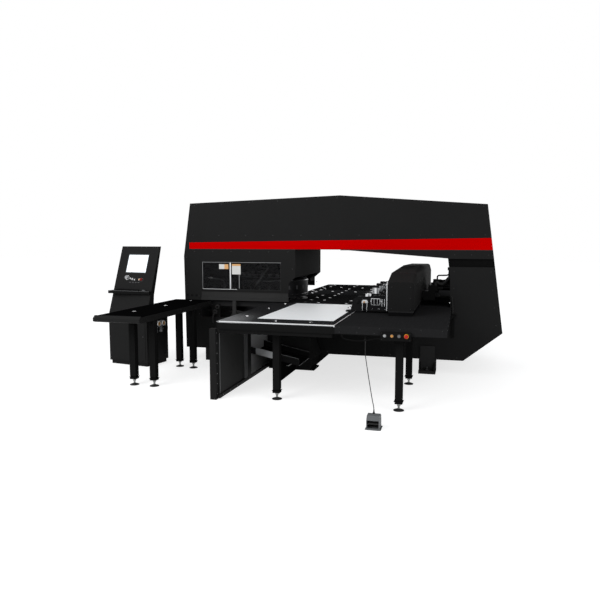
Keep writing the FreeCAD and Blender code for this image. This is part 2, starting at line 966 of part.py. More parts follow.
def drive_shaft():
    z0 = base_top + 1
    shaft = rod(drive_x, drive_y, z0, drive_shaft_radius, upper_bearing_bottom - z0)
    wheels = [
        rod(drive_x, drive_y, z, drive_sprocket_radius, sprocket_height)
        for z in (lower_sprocket_z, upper_sprocket_z)
    ]
    return joined([shaft] + wheels)


def belt_face(gap, z):
    """The outline round both sprockets, gap outside them: two arcs and two tangents."""
    dx = drive_x - turret_x
    span = math.hypot(dx, drive_y)
    big = sprocket_radius + gap
    small = drive_sprocket_radius + gap
    along = math.atan2(drive_y, dx)
    lean = math.acos((big - small) / span)

    def on_big(a):
        return V(turret_x + big * math.cos(a), big * math.sin(a), z)

    def on_small(a):
        return V(drive_x + small * math.cos(a), drive_y + small * math.sin(a), z)

    a0 = along + lean
    a1 = along - lean
    edges = [
        Part.Arc(on_big(a0), on_big(along + math.pi), on_big(a1)).toShape(),
        Part.LineSegment(on_big(a1), on_small(a1)).toShape(),
        Part.Arc(on_small(a1), on_small(along), on_small(a0)).toShape(),
        Part.LineSegment(on_small(a0), on_big(a0)).toShape(),
    ]
    return Part.Face(Part.Wire(edges))


def drive_chains():
    chains = []
    for z in (lower_sprocket_z, upper_sprocket_z):
        low = z + sprocket_height * 0.1
        tall = V(0, 0, sprocket_height * 0.8)
        outer = belt_face(running + chain_thickness, low).extrude(tall)
        inner = belt_face(running, low).extrude(tall)
        chains.append(outer.cut(inner))
    return chains


def ram_housing():
    ceiling = throat_top + sheet
    half = ram_housing_half
    block = box(punch_x - half, punch_x + half, -half, half, upper_bearing_bottom, ceiling)
    return block.cut(rod(punch_x, 0, upper_bearing_bottom - 1, ram_radius + running, ram_bore_depth))


def ram():
    z0 = tool_top + ram_gap
    z1 = upper_bearing_bottom + ram_bore_depth - 10
    return rod(punch_x, 0, z0, ram_radius, z1 - z0)


def servo_motors():
    ceiling = throat_top + sheet
    motor_z = upper_bearing_bottom
    turret_servo = rod(drive_x, drive_y, motor_z, turret_motor_radius, ceiling - motor_z)
    x1 = base_rail_x0 - 70
    half = base_motor / 2
    y0 = base_screw_y - half
    x0 = x1 - base_motor_length
    beam_servo = box(x0, x1, y0, base_screw_y + half, base_top, base_screw_z + half)
    return [turret_servo, beam_servo]


# ---- tables ----
def cut_corner(x, y, depth):
    """A prism that takes the front left corner off, for a plate or frame at x, y."""
    points = ((x - 1, y - 1), (x + depth, y - 1), (x - 1, y + depth))
    return prism_xy(points, -far, far)


def ball_tables():
    low_y = -table_half_length
    plate_x1 = table_split_x
    front = box(table_left_x, plate_x1, low_y, -table_inner_y, table_under, table_plate_top)
    front = front.cut(cut_corner(table_left_x, low_y, corner_cut))
    return [front, to_rear(front)]


def tray(x0, x1, y0, y1):
    block = box(x0, x1, y0, y1, plain_top - plain_plate, plain_top)
    t = plain_skin
    hollow = box(x0 + t, x1 - t, y0 + t, y1 - t, 0, plain_top - t)
    return block.cut(hollow)


def plain_tables():
    """The plain plates with their hanging skirts, and the narrow side table's plate."""
    x0 = table_split_x + strip_width
    low_y = -table_half_length
    skirt_z = plain_top - plain_skirt
    front = [
        tray(x0, table_right_x, low_y, -table_inner_y),
        box(x0, table_right_x + plain_skin, low_y - plain_skin, low_y, skirt_z, plain_top),
        box(table_right_x, table_right_x + plain_skin, low_y, -table_inner_y, skirt_z, plain_top),
    ]
    centre = tray(x0, throat_knee_x - 12, -centre_table_half, centre_table_half)
    side = box(side_x0, side_x1, side_front_y + side_lip, front_y, side_top - side_plate, side_top)
    return front + [to_rear(solid) for solid in front] + [centre, side]


def edge_strips():
    low_y = -table_half_length
    z1 = table_plate_top + strip_height
    x1 = table_split_x
    side = box(x1, x1 + strip_width, low_y, -table_inner_y, table_under, z1)
    nose = box(table_left_x + corner_cut, x1, low_y, low_y + strip_width, table_plate_top, z1)
    front = joined([side, nose])
    middle = box(x1, x1 + strip_width, -centre_table_half, centre_table_half, table_under, z1)
    return [front, to_rear(front), middle]


def table_frame():
    """Tubes under the front table that butt on each other, brackets to the wall and a lower rail."""
    y0 = -table_half_length
    y1 = -table_inner_y
    w = table_tube_width
    z0 = frame_under
    z1 = table_under
    mid_y0 = (y0 + y1 - w) / 2
    mid_y1 = mid_y0 + w
    split = table_split_x - w / 2
    long_spans = ((y0, y0 + w), (mid_y0, mid_y1), (y1 - w, y1))
    tubes = [box(table_left_x, table_right_x, a, b, z0, z1) for a, b in long_spans]
    crosses = [(table_left_x, table_left_x + w), (table_right_x - w, table_right_x), (split, split + w)]
    crosses += [(x - leg_beam_width / 2, x + leg_beam_width / 2) for x in leg_beam_x]
    for x0, x1 in crosses:
        tubes.append(box(x0, x1, y0 + w, mid_y0, z0, z1))
        tubes.append(box(x0, x1, mid_y1, y1 - w, z0, z1))
    bracket_z = apron_top - bracket_drop
    for x in bracket_x:
        tubes.append(box(x - w, x + w, y1 - w, y1, bracket_z, z0))
        tubes.append(box(x - w, x + w, y1, front_y, bracket_z, apron_top))
    rail_y0 = y0 + lower_rail_setback
    rail_y1 = rail_y0 + lower_rail_width
    tubes.append(box(table_left_x + w + 4, split, rail_y0, rail_y1, z0 - lower_rail_drop, z0))
    corner = cut_corner(table_left_x, y0, corner_cut)
    return [tube.cut(corner) for tube in tubes]


def front_table_frame():
    x, y, z = cord_route[0]
    return table_frame() + [rod(x, y, z, gland_radius, frame_under - z)]


def rear_table_frame():
    return [to_rear(tube) for tube in table_frame()]


def centre_table():
    half = centre_table_half
    x0 = centre_table_left
    x1 = table_split_x
    top = box(x0, x1, -half, half, table_under, table_plate_top)
    fascia_z = frame_under + 12
    fascia = box(x0, throat_knee_x - 12, -half, -half + sheet, fascia_z, table_under)
    rim = [fascia, to_rear(fascia)]
    post_half = post_size / 2
    posts = []
    for x in post_x:
        for side in (-1, 1):
            y = side * post_y
            posts.append(box(x - post_half, x + post_half, y - post_half, y + post_half, base_top, fascia_z))
        bar_y = half - sheet
        posts.append(box(x - post_half, x + post_half, -bar_y, bar_y, fascia_z, table_under))
    ring = rod(turret_x, 0, 0, turret_radius + turret_gap, far)
    shaft_hole = rod(drive_x, drive_y, 0, drive_shaft_radius + turret_gap, far)
    return joined([top] + rim + posts).cut([ring, shaft_hole])


def square(x, y, half, z):
    signs = ((-1, -1), (1, -1), (1, 1), (-1, 1), (-1, -1))
    return Part.makePolygon([V(x + a * half, y + b * half, z) for a, b in signs])


def leg_tube(x, y, top):
    """A square tube that narrows to its stud."""
    half = leg_size / 2
    neck = leg_bottom + leg_taper
    tube = box(x - half, x + half, y - half, y + half, neck, top)
    taper = Part.makeLoft([square(x, y, leg_tip / 2, leg_bottom), square(x, y, half, neck)], True, True)
    return joined([tube, taper])


def table_legs():
    tall = [leg_tube(x, y, frame_under) for x, y in front_legs + rear_legs]
    low = [leg_tube(x, y, side_top - side_plate - side_rim_height) for x, y in side_legs]
    return tall + low


def levelling_feet():
    feet = []
    for x, y in front_legs + rear_legs + side_legs:
        pad = rod(x, y, 0, foot_radius, foot_height * 0.4)
        dome = cone(x, y, foot_height * 0.4, foot_radius, stud_radius * 2, foot_height * 0.6)
        stud = rod(x, y, foot_height, stud_radius, leg_bottom - foot_height)
        feet.append(joined([pad, dome, stud]))
    return feet


# ---- guard ----
guard_x0 = table_left_x
guard_top = frame_under


def guard_frame():
    y0 = -table_half_length
    x1 = guard_x0 + guard_rail
    back = guard_back_y
    post_y1 = y0 + guard_post
    parts = [
        box(guard_post_x, guard_post_x + guard_post, y0, post_y1, 0, guard_top),
        box(guard_x0, x1, post_y1 - guard_rail, back, guard_top - lower_rail_drop, guard_top),
        box(guard_x0, x1, post_y1 - guard_rail, back, guard_gap, guard_gap + guard_rail),
        box(guard_x0, x1, back - guard_rail, back, 0, guard_top),
        box(guard_x0, x1, guard_mid_y, guard_mid_y + guard_mid_width, guard_gap, guard_top),
    ]
    return joined(parts)


def guard_panels():
    x0 = guard_x0 + (guard_rail - guard_panel) / 2
    z0 = guard_gap + guard_rail
    z1 = guard_top - lower_rail_drop
    spans = (
        (guard_post - table_half_length, guard_mid_y),
        (guard_mid_y + guard_mid_width, guard_back_y - guard_rail),
    )
    return [box(x0, x0 + guard_panel, y0, y1, z0, z1) for y0, y1 in spans]


# ---- scrap bin and chute ----
def chute_under(x):
    """Height of the sloping chute's underside at x."""
    return chute_low_z + (chute_x1 - x) * chute_fall


def scrap_bin():
    """An open bin pushed against the toe, its rim sloping so that the chute lies on it."""
    y1 = -left_toe_half
    profile = ((bin_x0, 0), (bin_x1, 0), (bin_x1, chute_under(bin_x1)), (bin_x0, chute_under(bin_x0)))
    outer = prism_xz(profile, bin_y0, y1)
    t = bin_wall
    inner = box(bin_x0 + t, bin_x1 - t, bin_y0 + t, y1 - t, t, far)
    lip = ((bin_x1, chute_under(bin_x1) - bin_rim), (bin_x1 + bin_rim, chute_under(bin_x1 + bin_rim) - bin_rim))
    lip += ((bin_x1 + bin_rim, chute_under(bin_x1 + bin_rim)), (bin_x1, chute_under(bin_x1)))
    return joined([outer.cut(inner), prism_xz(lip, bin_y0, y1)])


def scrap_chute():
    """A channel that slopes down to the right, open at both ends."""
    t = chute_wall
    top = chute_side
    ends = ((chute_x0, chute_under(chute_x0)), (chute_x1, chute_under(chute_x1)))
    block = ends + ((chute_x1, ends[1][1] + top), (chute_x0, ends[0][1] + top))
    room = tuple((x, z + t) for x, z in ends) + ((chute_x1, far), (chute_x0, far))
    return prism_xz(block, chute_y0, chute_y1).cut(prism_xz(room, chute_y0 + t, chute_y1 - t))


# ---- side table ----
def side_table_frame():
    z1 = side_top - side_plate
    z0 = z1 - side_rim_height
    w = side_rim_width
    y0 = side_front_y + side_lip
    outer = box(side_x0, side_x1, y0, front_y, z0, z1)
    parts = [outer.cut(box(side_x0 + w, side_x1 - w, y0 + w, front_y - w, -far, far))]
    for y in sorted(set(y for _, y in side_legs)):
        parts.append(box(side_x0, side_x1, y - leg_size / 2, y + leg_size / 2, z0, z1))
    lip = ((side_front_y, z0 + lip_low), (side_front_y, z1 - lip_high), (y0, side_top), (y0, z0))
    parts.append(prism_yz(lip, side_x0 - side_lip, side_x1))
    return joined(parts)


# ---- cross-beam ----
def beam_profile(shrink):
    end_y = beam_half_length - shrink
    top = shrink
    facet = beam_facet_y - shrink * 0.3
    return (
        (-end_y, beam_bottom),
        (-end_y, beam_end_top - top),
        (-facet, beam_facet_z - top),
        (0, beam_crown_z - top),
        (facet, beam_facet_z - top),
        (end_y, beam_end_top - top),
        (end_y, beam_bottom),
    )


def rounded_beam(shrink):
    """A prism of the beam cover, its right upper edges and right front and back corners rounded."""
    x1 = beam_x + beam_width - shrink
    body = prism_yz(beam_profile(shrink), beam_x, x1)
    edges = []
    for edge in body.Edges:
        xs = [v.X for v in edge.Vertexes]
        zs = [v.Z for v in edge.Vertexes]
        if min(xs) > x1 - 1 and max(zs) > beam_bottom + 1:
            edges.append(edge)
    return body.makeFillet(beam_round - shrink, edges)


def beam_cover():
    """A folded hood, open below and on the carriage's side up to the cheek above the carriage."""
    shell = rounded_beam(0).cut(rounded_beam(sheet))
    cheek = prism_yz(beam_profile(sheet), beam_x, beam_x + sheet)
    above = box(0, far, -far, far, carriage_top + cheek_gap, far)
    return joined([shell, cheek.common(above)])


def beam_girder():
    half = girder_half_length
    outer = box(girder_x0, girder_x1, -half, half, girder_bottom, girder_top)
    wall = girder_wall
    inner = box(girder_x0 + wall, girder_x1 - wall, -far, far, girder_bottom + wall, girder_top - wall)
    girder = outer.cut(inner)
    ribs = []
    for y in (-half + wall, half - wall):
        ribs.append(box(girder_x0, girder_x1, y - wall / 2, y + wall / 2, girder_top, beam_end_top - sheet))
    straps = []
    strap_x1 = beam_x + beam_width - sheet
    strap_z1 = girder_bottom + strap_half
    for y in strap_y:
        straps.append(box(girder_x1, strap_x1, y - strap_half, y + strap_half, girder_bottom, strap_z1))
    motor_x1 = girder_x0
    motor = box(
        motor_x1 - screw_motor, motor_x1, screw_end_y, screw_end_y + screw_motor_length - 30,
        screw_z - screw_motor / 2, screw_z + screw_motor / 2,
    )
    return [joined([girder] + ribs + straps), motor]


def beam_rails():
    half = girder_half_length - 5
    x0 = girder_x0 - rail_depth
    rails = [box(x0, girder_x0, -half, half, z, z + rail_height) for z in (rail_low_z, rail_high_z)]
    front = box(girder_x0 - 45, girder_x0, -half, -half + 30, screw_z - 30, screw_z + 30)
    bore = rod(girder_x0 - 25, -far, screw_z, screw_radius + running, far * 2, (0, 1, 0))
    return rails + [front.cut(bore)]


def carriage_screw():
    y0 = -girder_half_length + 10
    return rod(girder_x0 - 25, y0, screw_z, screw_radius, screw_end_y - y0, (0, 1, 0))


def carriage():
    x1 = girder_x0 - rail_depth - carriage_gap
    x0 = x1 - carriage_plate
    y0 = carriage_front_y
    y1 = y0 + carriage_length
    parts = [box(x0, x1, y0, y1, carriage_bottom, carriage_top)]
    block_x1 = girder_x0 - 6
    for z in (rail_low_z, rail_high_z):
        for y in (y0 + block_inset, y1 - block_inset - bearing_block):
            low_z = z - block_margin
            block = box(x1 - 1, block_x1, y, y + bearing_block, low_z, z + rail_height + block_margin)
            groove_x = girder_x0 - rail_depth - running
            groove = box(groove_x, far, -far, far, z - running, z + rail_height + running)
            parts.append(block.cut(groove))
    mid = (y0 + y1) / 2
    nut_z = screw_z - nut_half_height
    nut = box(x1 - 1, block_x1, mid - nut_half_length, mid + nut_half_length, nut_z, screw_z + nut_half_height)
    bore = rod(girder_x0 - 25, -far, screw_z, screw_radius + running, far * 2, (0, 1, 0))
    return joined(parts + [nut]).cut(bore)


carriage_face_x = girder_x0 - rail_depth - carriage_gap - carriage_plate


def clamp_bodies():
    """For each clamp the lower jaw plate, and the body with its lever slot that stands on the plate's heel."""
    lower_z = pass_line - lower_jaw
    floor_z = pass_line + clamp_lift
    top_z = pass_line + clamp_height
    x1 = carriage_face_x
    heel_x = jaw_root_x - jaw_heel
    face_x = pivot_x - clamp_nose
    belly_x = jaw_root_x + clamp_belly
    plate_profile = (
        (jaw_tip_x, lower_z),
        (jaw_root_x, lower_z),
        (jaw_root_x, floor_z),
        (heel_x, floor_z),
        (heel_x, pass_line),
        (jaw_tip_x, pass_line),
    )
    body_profile = (
        (heel_x, floor_z),
        (belly_x, floor_z),
        (belly_x + clamp_rise, carriage_bottom),
        (x1, carriage_bottom),
        (x1, carriage_bottom + clamp_shoulder),
        (pivot_x + lever_tail + jaw_slack, top_z),
        (pivot_x - clamp_brow, top_z),
        (face_x, top_z - clamp_nose_drop),
        (face_x, floor_z + clamp_chin),
        (heel_x, floor_z + heel_height),
    )
    solids = []
    for y in clamp_y:
        y0 = y - clamp_width / 2
        y1 = y + clamp_width / 2
        half = jaw_width / 2 + 1
        slot_x1 = pivot_x + lever_tail + jaw_slack / 2
        slot = box(jaw_tip_x - 1, slot_x1, y - half, y + half, pass_line + slot_height, far)
        mouth = box(jaw_tip_x - 1, jaw_root_x + mouth_depth, y - half, y + half, pass_line, far)
        pin_hole = rod(pivot_x, -far, pivot_z, pivot_radius + running, far * 2, (0, 1, 0))
        solids.append(prism_xz(plate_profile, y0, y1).cut(mouth))
        solids.append(prism_xz(body_profile, y0, y1).cut([slot, mouth, pin_hole]))
    return solids


def clamp_jaws():
    grip_z = pass_line + work_thickness + running
    profile = (
        (jaw_tip_x, grip_z),
        (jaw_tip_x + 52, grip_z),
        (pivot_x - 45, pivot_z - 70),
        (pivot_x + 26, pivot_z - 26),
        (pivot_x + lever_tail, pivot_z - 6),
        (pivot_x + lever_tail, pivot_z + 20),
        (pivot_x - 10, pivot_z + 30),
        (pivot_x - 62, pivot_z + 6),
        (jaw_tip_x + 62, grip_z + jaw_nose + 6),
        (jaw_tip_x, grip_z + jaw_nose),
    )
    jaws = []
    half = jaw_width / 2
    pin_half = clamp_width / 2 + 6
    for y in clamp_y:
        lever = prism_xz(profile, y - half, y + half)
        pin = rod(pivot_x, y - pin_half, pivot_z, pivot_radius, pin_half * 2, (0, 1, 0))
        jaws.append(joined([lever, pin]))
    return jaws


def work_sheet():
    return box(sheet_x0, sheet_x1, sheet_y0, sheet_y1, pass_line, pass_line + work_thickness)


# ---- base rails and saddles ----
def base_rails():
    half = base_rail_width / 2
    z1 = base_top + base_rail_height
    rear = box(base_rail_x0, base_rail_x1, base_rail_y - half, base_rail_y + half, base_top, z1)
    bore = rod(-far, base_screw_y, base_screw_z, screw_radius + running, far * 2, (1, 0, 0))
    bearings = []
    for x in (base_rail_x0 - 30, base_rail_x1 - 30):
        block = box(x, x + 40, base_screw_y - 35, base_screw_y + 35, base_top, base_screw_z + 35)
        bearings.append(block.cut(bore))
    return [rear, to_rear(rear)] + bearings


def beam_screw():
    x0 = base_rail_x0 - 70
    x1 = base_rail_x1 + 20
    return rod(x0, base_screw_y, base_screw_z, screw_radius, x1 - x0, (1, 0, 0))


def saddles():
    x0 = saddle_x
    x1 = x0 + saddle_length
    half = base_rail_width / 2
    y0 = base_rail_y - half - saddle_wall * 1.6
    y1 = base_rail_y + half + saddle_wall
    z0 = base_top + 6
    block = box(x0, x1, y0, y1, z0, z0 + saddle_block_height)
    groove_z = base_top + base_rail_height + running
    groove = box(-far, far, base_rail_y - half - running, base_rail_y + half + running, 0, groove_z)
    upright = box(x0, x1, base_rail_y - half, base_rail_y + half, z0 + saddle_block_height, girder_bottom)
    front = joined([block.cut(groove), upright])
    nut_x = x0 + saddle_length / 2
    nut = box(nut_x - 30, nut_x + 30, base_screw_y - 40, y0 + 1, base_screw_z - 35, base_screw_z + 35)
    bore = rod(-far, base_screw_y, base_screw_z, screw_radius + running, far * 2, (1, 0, 0))
    rear = joined([front, nut]).cut(bore)
    return [to_rear(front), rear]


# ---- console, modelled square and then turned about its front left corner ----
def to_console(shape):
    placed = shape.copy()
    placed.rotate(V(0, 0, 0), V(0, 0, 1), console_turn)
    placed.translate(V(console_x, console_y, 0))
    return placed


lean_angle = math.atan2(console_lean, console_top - console_waist)


def face_y(z):
    """Depth of the leaning face at height z."""
    return (z - console_waist) * math.tan(lean_angle)


def on_face(x, z, out):
    """A point on the leaning face, moved out along its normal."""
    return V(x, face_y(z) - out * math.cos(lean_angle), z + out * math.sin(lean_angle))


face_out = (0, -math.cos(lean_angle), math.sin(lean_angle))


def console_cabinet():
    w = console_width
    d = console_depth
    t = console_wall
    shell = box(0, w, 0, d, console_plinth, console_waist)
    room = box(t, w - t, t, d - t, console_plinth + t, console_waist - t)
    inset_by = console_plinth_inset
    plinth = box(inset_by, w - inset_by, inset_by, d - inset_by, 0, console_plinth)
    below = box(inset_by + t, w - inset_by - t, inset_by + t, d - inset_by - t, -1, console_plinth + t)
    duct_y1 = head_base_depth - inset_by
    duct_z = console_waist - t - 1
    duct = box(console_plinth, w - console_plinth, inset_by, duct_y1, duct_z, console_waist + 1)
    return to_console(joined([shell.cut(room), plinth]).cut([below, duct]))


def console_head():
    w = console_width
    t = console_wall
    back_y = console_lean + head_top_depth
    profile = (
        (0, console_waist),
        (console_lean, console_top),
        (back_y, console_top),
        (head_base_depth + head_bulge, console_waist + head_bulge_height),
        (head_base_depth, console_waist),
    )
    hollow = inset(profile, t)
    hollow[0] = (hollow[0][0], console_waist - 1)
    hollow[-1] = (hollow[-1][0], console_waist - 1)
    body = prism_yz(profile, 0, w).cut(prism_yz(hollow, t, w - t))
    x0 = (w - screen_width) / 2
    cuts = [leaning_box(x0, x0 + screen_width, screen_low_z, screen_height, -screen_depth, 5)]
    for x, z, r in ((dial_x, dial_z, dial_stem), (console_estop_x, console_estop_z, mushroom_stem)):
        start = on_face(x, z, -2 * t)
        cuts.append(rod(start.x, start.y, start.z, r + running, 4 * t, face_out))
    return to_console(body.cut(cuts))


def leaning_box(x0, x1, z_low, height, out_0, out_1):
    """A box whose back lies on the leaning face, from out_0 to out_1 along its normal."""
    block = Part.makeBox(x1 - x0, out_1 - out_0, height, V(x0, -out_1, 0))
    block.rotate(V(0, 0, 0), V(1, 0, 0), -math.degrees(lean_angle))
    block.translate(V(0, face_y(z_low), z_low))
    return block


def console_screen():
    x0 = (console_width - screen_width) / 2
    return to_console(leaning_box(x0, x0 + screen_width, screen_low_z, screen_height, -screen_depth, 1.5))


def console_shelf():
    w = console_width
    z1 = shelf_z + shelf_thickness
    back = face_y(z1)
    right_y = shelf_front_y + shelf_skew
    top = prism_xy(((0, shelf_front_y), (w, right_y), (w, back), (0, back)), shelf_z, z1)
    keys = box(keys_left, w - keys_right, keys_front, keys_back, z1, z1 + keyboard_height)
    pad = box(w - pad_left, w - pad_right, pad_front, keys_back, z1, z1 + pad_height)
    shape = joined([top, keys, pad])
    profile = ((0, console_waist), (console_lean, console_top), (far, console_top), (far, console_waist))
    return to_console(shape.cut(prism_yz(profile, -1, w + 1)))


def console_dial():
    start = on_face(dial_x, dial_z, 1)
    knob = rod(start.x, start.y, start.z, dial_radius, dial_height, face_out)
    inner = on_face(dial_x, dial_z, -stem_depth)
    stem = rod(inner.x, inner.y, inner.z, dial_stem, 20, face_out)
    pointer = leaning_box(dial_x - 3, dial_x + 3, dial_z, dial_radius * 0.8, dial_height, dial_height + 4)
    return to_console(joined([knob, stem, pointer]))


def mushroom(start, direction):
    """An emergency stop button: stem, neck and a domed head, from a point inside its bore."""
    axis = V(*direction)
    stem = rod(start.x, start.y, start.z, mushroom_stem, stem_depth * 2, direction)
    neck_at = start + axis * (stem_depth + push_stroke + mushroom_clearance)
    head = rod(neck_at.x, neck_at.y, neck_at.z, mushroom_radius, mushroom_rim, direction)
    dome_at = neck_at + axis * mushroom_rim
    tip_radius = mushroom_radius * mushroom_taper
    dome = cone(dome_at.x, dome_at.y, dome_at.z, mushroom_radius, tip_radius, mushroom_dome, direction)
    return joined([stem, head, dome])


def console_estop():
    return to_console(mushroom(on_face(console_estop_x, console_estop_z, -stem_depth), face_out))


def air_service_unit():
    w = console_width
    z0 = air_z
    body = box(w, w + air_depth, air_y, air_y + air_width, z0, z0 + air_height)
    parts = [body]
    middle_x = w + air_depth / 2 + bowl_offset
    middle_z = z0 + air_height / 2
    gauge_x = w + air_depth + gauge_neck - 1
    for y in (air_y + gauge_inset, air_y + air_width - gauge_inset):
        parts.append(rod(middle_x, y, z0 - bowl_length, bowl_radius - 1, bowl_length))
        parts.append(rod(w + air_depth, y, middle_z, gauge_radius * 0.3, gauge_neck, (1, 0, 0)))
        parts.append(rod(gauge_x, y, middle_z, gauge_radius, gauge_depth, (1, 0, 0)))
    parts.append(rod(middle_x, air_y + gauge_inset, z0 + air_height, air_knob_radius, air_knob_height))
    return to_console(joined(parts))


# ---- button box ----
def button_face_y():
    return -table_half_length - plain_skin - button_box_front


def button_box():
    x0 = button_box_x0
    x1 = button_box_x1
    skirt_y = -table_half_length - plain_skin
    front = box(x0, x1, button_face_y(), skirt_y, button_box_bottom, plain_top - plain_skirt + box_lip)
    rear = box(x0, x1, skirt_y - 1, skirt_y + button_box_back, button_box_bottom, frame_under)
    face = button_face_y()
    holes = [(x, button_stem) for x in button_x] + [(box_estop_x, mushroom_stem)]
    bores = [rod(x, face - 1, button_z, r + running, button_bore + 1, (0, 1, 0)) for x, r in holes]
    housing = joined([front, rear]).cut(bores)
    lead_y = skirt_y + lead_setback
    route = (
        (lead_x[0], lead_y, frame_under),
        (lead_x[0], lead_y, frame_under - lead_drop[0]),
        (lead_x[1], lead_y, frame_under - lead_drop[1]),
        (lead_x[2], lead_y + lead_sway, frame_under - lead_drop[2]),
        (lead_x[3], lead_y, frame_under - lead_drop[3]),
        (lead_x[4], lead_y, frame_under - lead_drop[4]),
        (x0, lead_y, frame_under - lead_drop[4]),
    )
    lead, length, smallest = tube_along(route, lead_radius)
    print("button lead", round(length), "mm, smallest bend", round(smallest, 1))
    return [housing, lead]


def push_button(index):
    """A stem in its bore and a cap that stands off the box by its stroke and a little more."""
    stem_y = button_face_y() + button_bore - push_stroke - bore_margin
    cap_y = button_face_y() - push_stroke - cap_margin
    stem = rod(button_x[index], stem_y, button_z, button_stem, stem_y - cap_y + 1, (0, -1, 0))
    cap = rod(button_x[index], cap_y, button_z, button_radius, button_cap, (0, -1, 0))
    return joined([stem, cap])


def box_estop():
    start = V(box_estop_x, button_face_y() + stem_depth, button_z)
    return mushroom(start, (0, -1, 0))


# ---- foot pedal ----
def pedal_guard():
    half = pedal_width / 2
    y0 = pedal_y - pedal_length / 2
    y1 = pedal_y + pedal_length / 2
    outer = prism_yz(
        (
            (y0, 0),
            (y0, pedal_height * 0.72),
            (y0 + 30, pedal_height),
            (y1 - 40, pedal_height),
            (y1, pedal_height * 0.62),
            (y1, 0),
        ),
        pedal_x - half, pedal_x + half,
    )
    w = pedal_wall
    mouth = prism_yz(
        (
            (y0 - 1, pedal_floor),
            (y0 - 1, pedal_height * 0.72 - w),
            (y0 + 30, pedal_height - w),
            (y1 - 42, pedal_height - w),
            (y1 - w, pedal_height * 0.6),
            (y1 - w, pedal_floor),
        ),
        pedal_x - half + w, pedal_x + half - w,
    )
    cord_x, cord_y, cord_z = cord_route[-1]
    gland = rod(cord_x, cord_y, pedal_height - 1, gland_radius, cord_z - pedal_height + 1)
    shell = outer.cut(mouth).fuse(gland)
    pin_hole = treadle_pin_radius + running
    pin = rod(pedal_x - half - 1, y1 - treadle_back, treadle_z, pin_hole, pedal_width + 2, (1, 0, 0))
    return shell.cut(pin)


def pedal_treadle():
    half = pedal_width / 2 - pedal_wall - 2
    y1 = pedal_y + pedal_length / 2 - treadle_back
    y0 = pedal_y - pedal_length / 2 + treadle_front
    rise = treadle_rise
    profile = (
        (y0, treadle_z + rise - treadle_thickness / 2),
        (y1, treadle_z - treadle_thickness / 2),
        (y1 + 10, treadle_z),
        (y1, treadle_z + treadle_thickness / 2),
        (y0, treadle_z + rise + treadle_thickness / 2),
    )
    tread = prism_yz(profile, pedal_x - half, pedal_x + half)
    pin = rod(pedal_x - pedal_width / 2, y1, treadle_z, treadle_pin_radius, pedal_width, (1, 0, 0))
    return joined([tread, pin])


def pedal_cord():
    tube, length, smallest = tube_along(cord_route, cord_radius)
    section = math.pi * cord_radius**2
    print("pedal cord", round(length), "mm, smallest bend", round(smallest, 1))
    print("cord volume over section times length", round(tube.Volume / (section * length), 4))
    return tube


nodes = {
    "frame_weldment": frame_weldment,
    "roof_cover": roof_cover,
    "throat_liner": throat_liner,
    "front_covers": front_covers,
    "turret_cover": turret_cover,
    "column_cover": joggled_column_cover,
    "rear_covers": rear_covers,
    "red_stripe": red_stripe,
    "fixed_window": fixed_window,
    "window_pane": window_pane,
    "pedestals": pedestals,
    "end_stops": end_stops,
    "upper_turret": upper_turret,
    "lower_turret": lower_turret,
    "punch_tools": punch_tools,
    "active_punch": active_punch,
    "ram_housing": ram_housing,
    "ram": ram,
    "drive_shaft": drive_shaft,
    "drive_chains": drive_chains,
    "servo_motors": servo_motors,
    "ball_tables": ball_tables,
    "plain_tables": plain_tables,
    "centre_table": centre_table,
    "edge_strips": edge_strips,
    "front_table_frame": front_table_frame,
    "rear_table_frame": rear_table_frame,
    "table_legs": table_legs,
    "levelling_feet": levelling_feet,
    "guard_frame": guard_frame,
    "guard_panels": guard_panels,
    "scrap_bin": scrap_bin,
    "scrap_chute": scrap_chute,
    "side_table_frame": side_table_frame,
    "base_rails": base_rails,
    "beam_screw": beam_screw,
    "saddles": saddles,
    "beam_girder": beam_girder,
    "beam_cover": beam_cover,
    "beam_rails": beam_rails,
    "carriage_screw": carriage_screw,
    "carriage": carriage,
    "clamp_bodies": clamp_bodies,
    "clamp_jaws": clamp_jaws,
    "work_sheet": work_sheet,
    "console_cabinet": console_cabinet,
    "console_head": console_head,
    "console_screen": console_screen,
    "console_shelf": console_shelf,
    "console_dial": console_dial,
    "console_estop": console_estop,
    "air_service_unit": air_service_unit,
    "button_box": button_box,
    "start_button": lambda: push_button(0),
    "hold_button": lambda: push_button(1),
    "clamp_button": lambda: push_button(2),
    "box_estop": box_estop,
    "pedal_guard": pedal_guard,
    "pedal_treadle": pedal_treadle,
    "pedal_cord": pedal_cord,
}


def main():
    os.makedirs("parts", exist_ok=True)
    for name, build in nodes.items():
        made = build()
        solids = made if isinstance(made, list) else [made]
        found = [solid for shape in solids for solid in shape.Solids]
        valid = all(solid.isValid() for solid in found)
        volume = sum(solid.Volume for solid in found)
        print(name, len(found), "solids, valid", valid, "litres", round(volume / 1e6, 3))
        shape = found[0] if len(found) == 1 else Part.makeCompound(found)
        shape.exportStep("parts/" + name + ".step")


main()
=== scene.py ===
import math

import bmesh
import bpy
from bpy.props import FloatProperty, FloatVectorProperty, IntProperty, PointerProperty
from mathutils import Matrix, Vector


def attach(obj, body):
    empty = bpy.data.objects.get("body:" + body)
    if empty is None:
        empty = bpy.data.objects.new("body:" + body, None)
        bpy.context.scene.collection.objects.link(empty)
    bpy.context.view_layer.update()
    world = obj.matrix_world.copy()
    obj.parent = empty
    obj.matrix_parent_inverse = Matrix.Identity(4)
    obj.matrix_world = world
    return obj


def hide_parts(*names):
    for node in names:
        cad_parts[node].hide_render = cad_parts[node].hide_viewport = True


bl_info = {
    "name": "Turret Punch Press",
    "version": (1, 0, 0),
    "blender": (4, 5, 0),
    "location": "View3D > Sidebar > Punch Press",
    "description": "Finishes and fine parts of a turret punch press with its tables, console and foot pedal",
    "category": "Object",
}

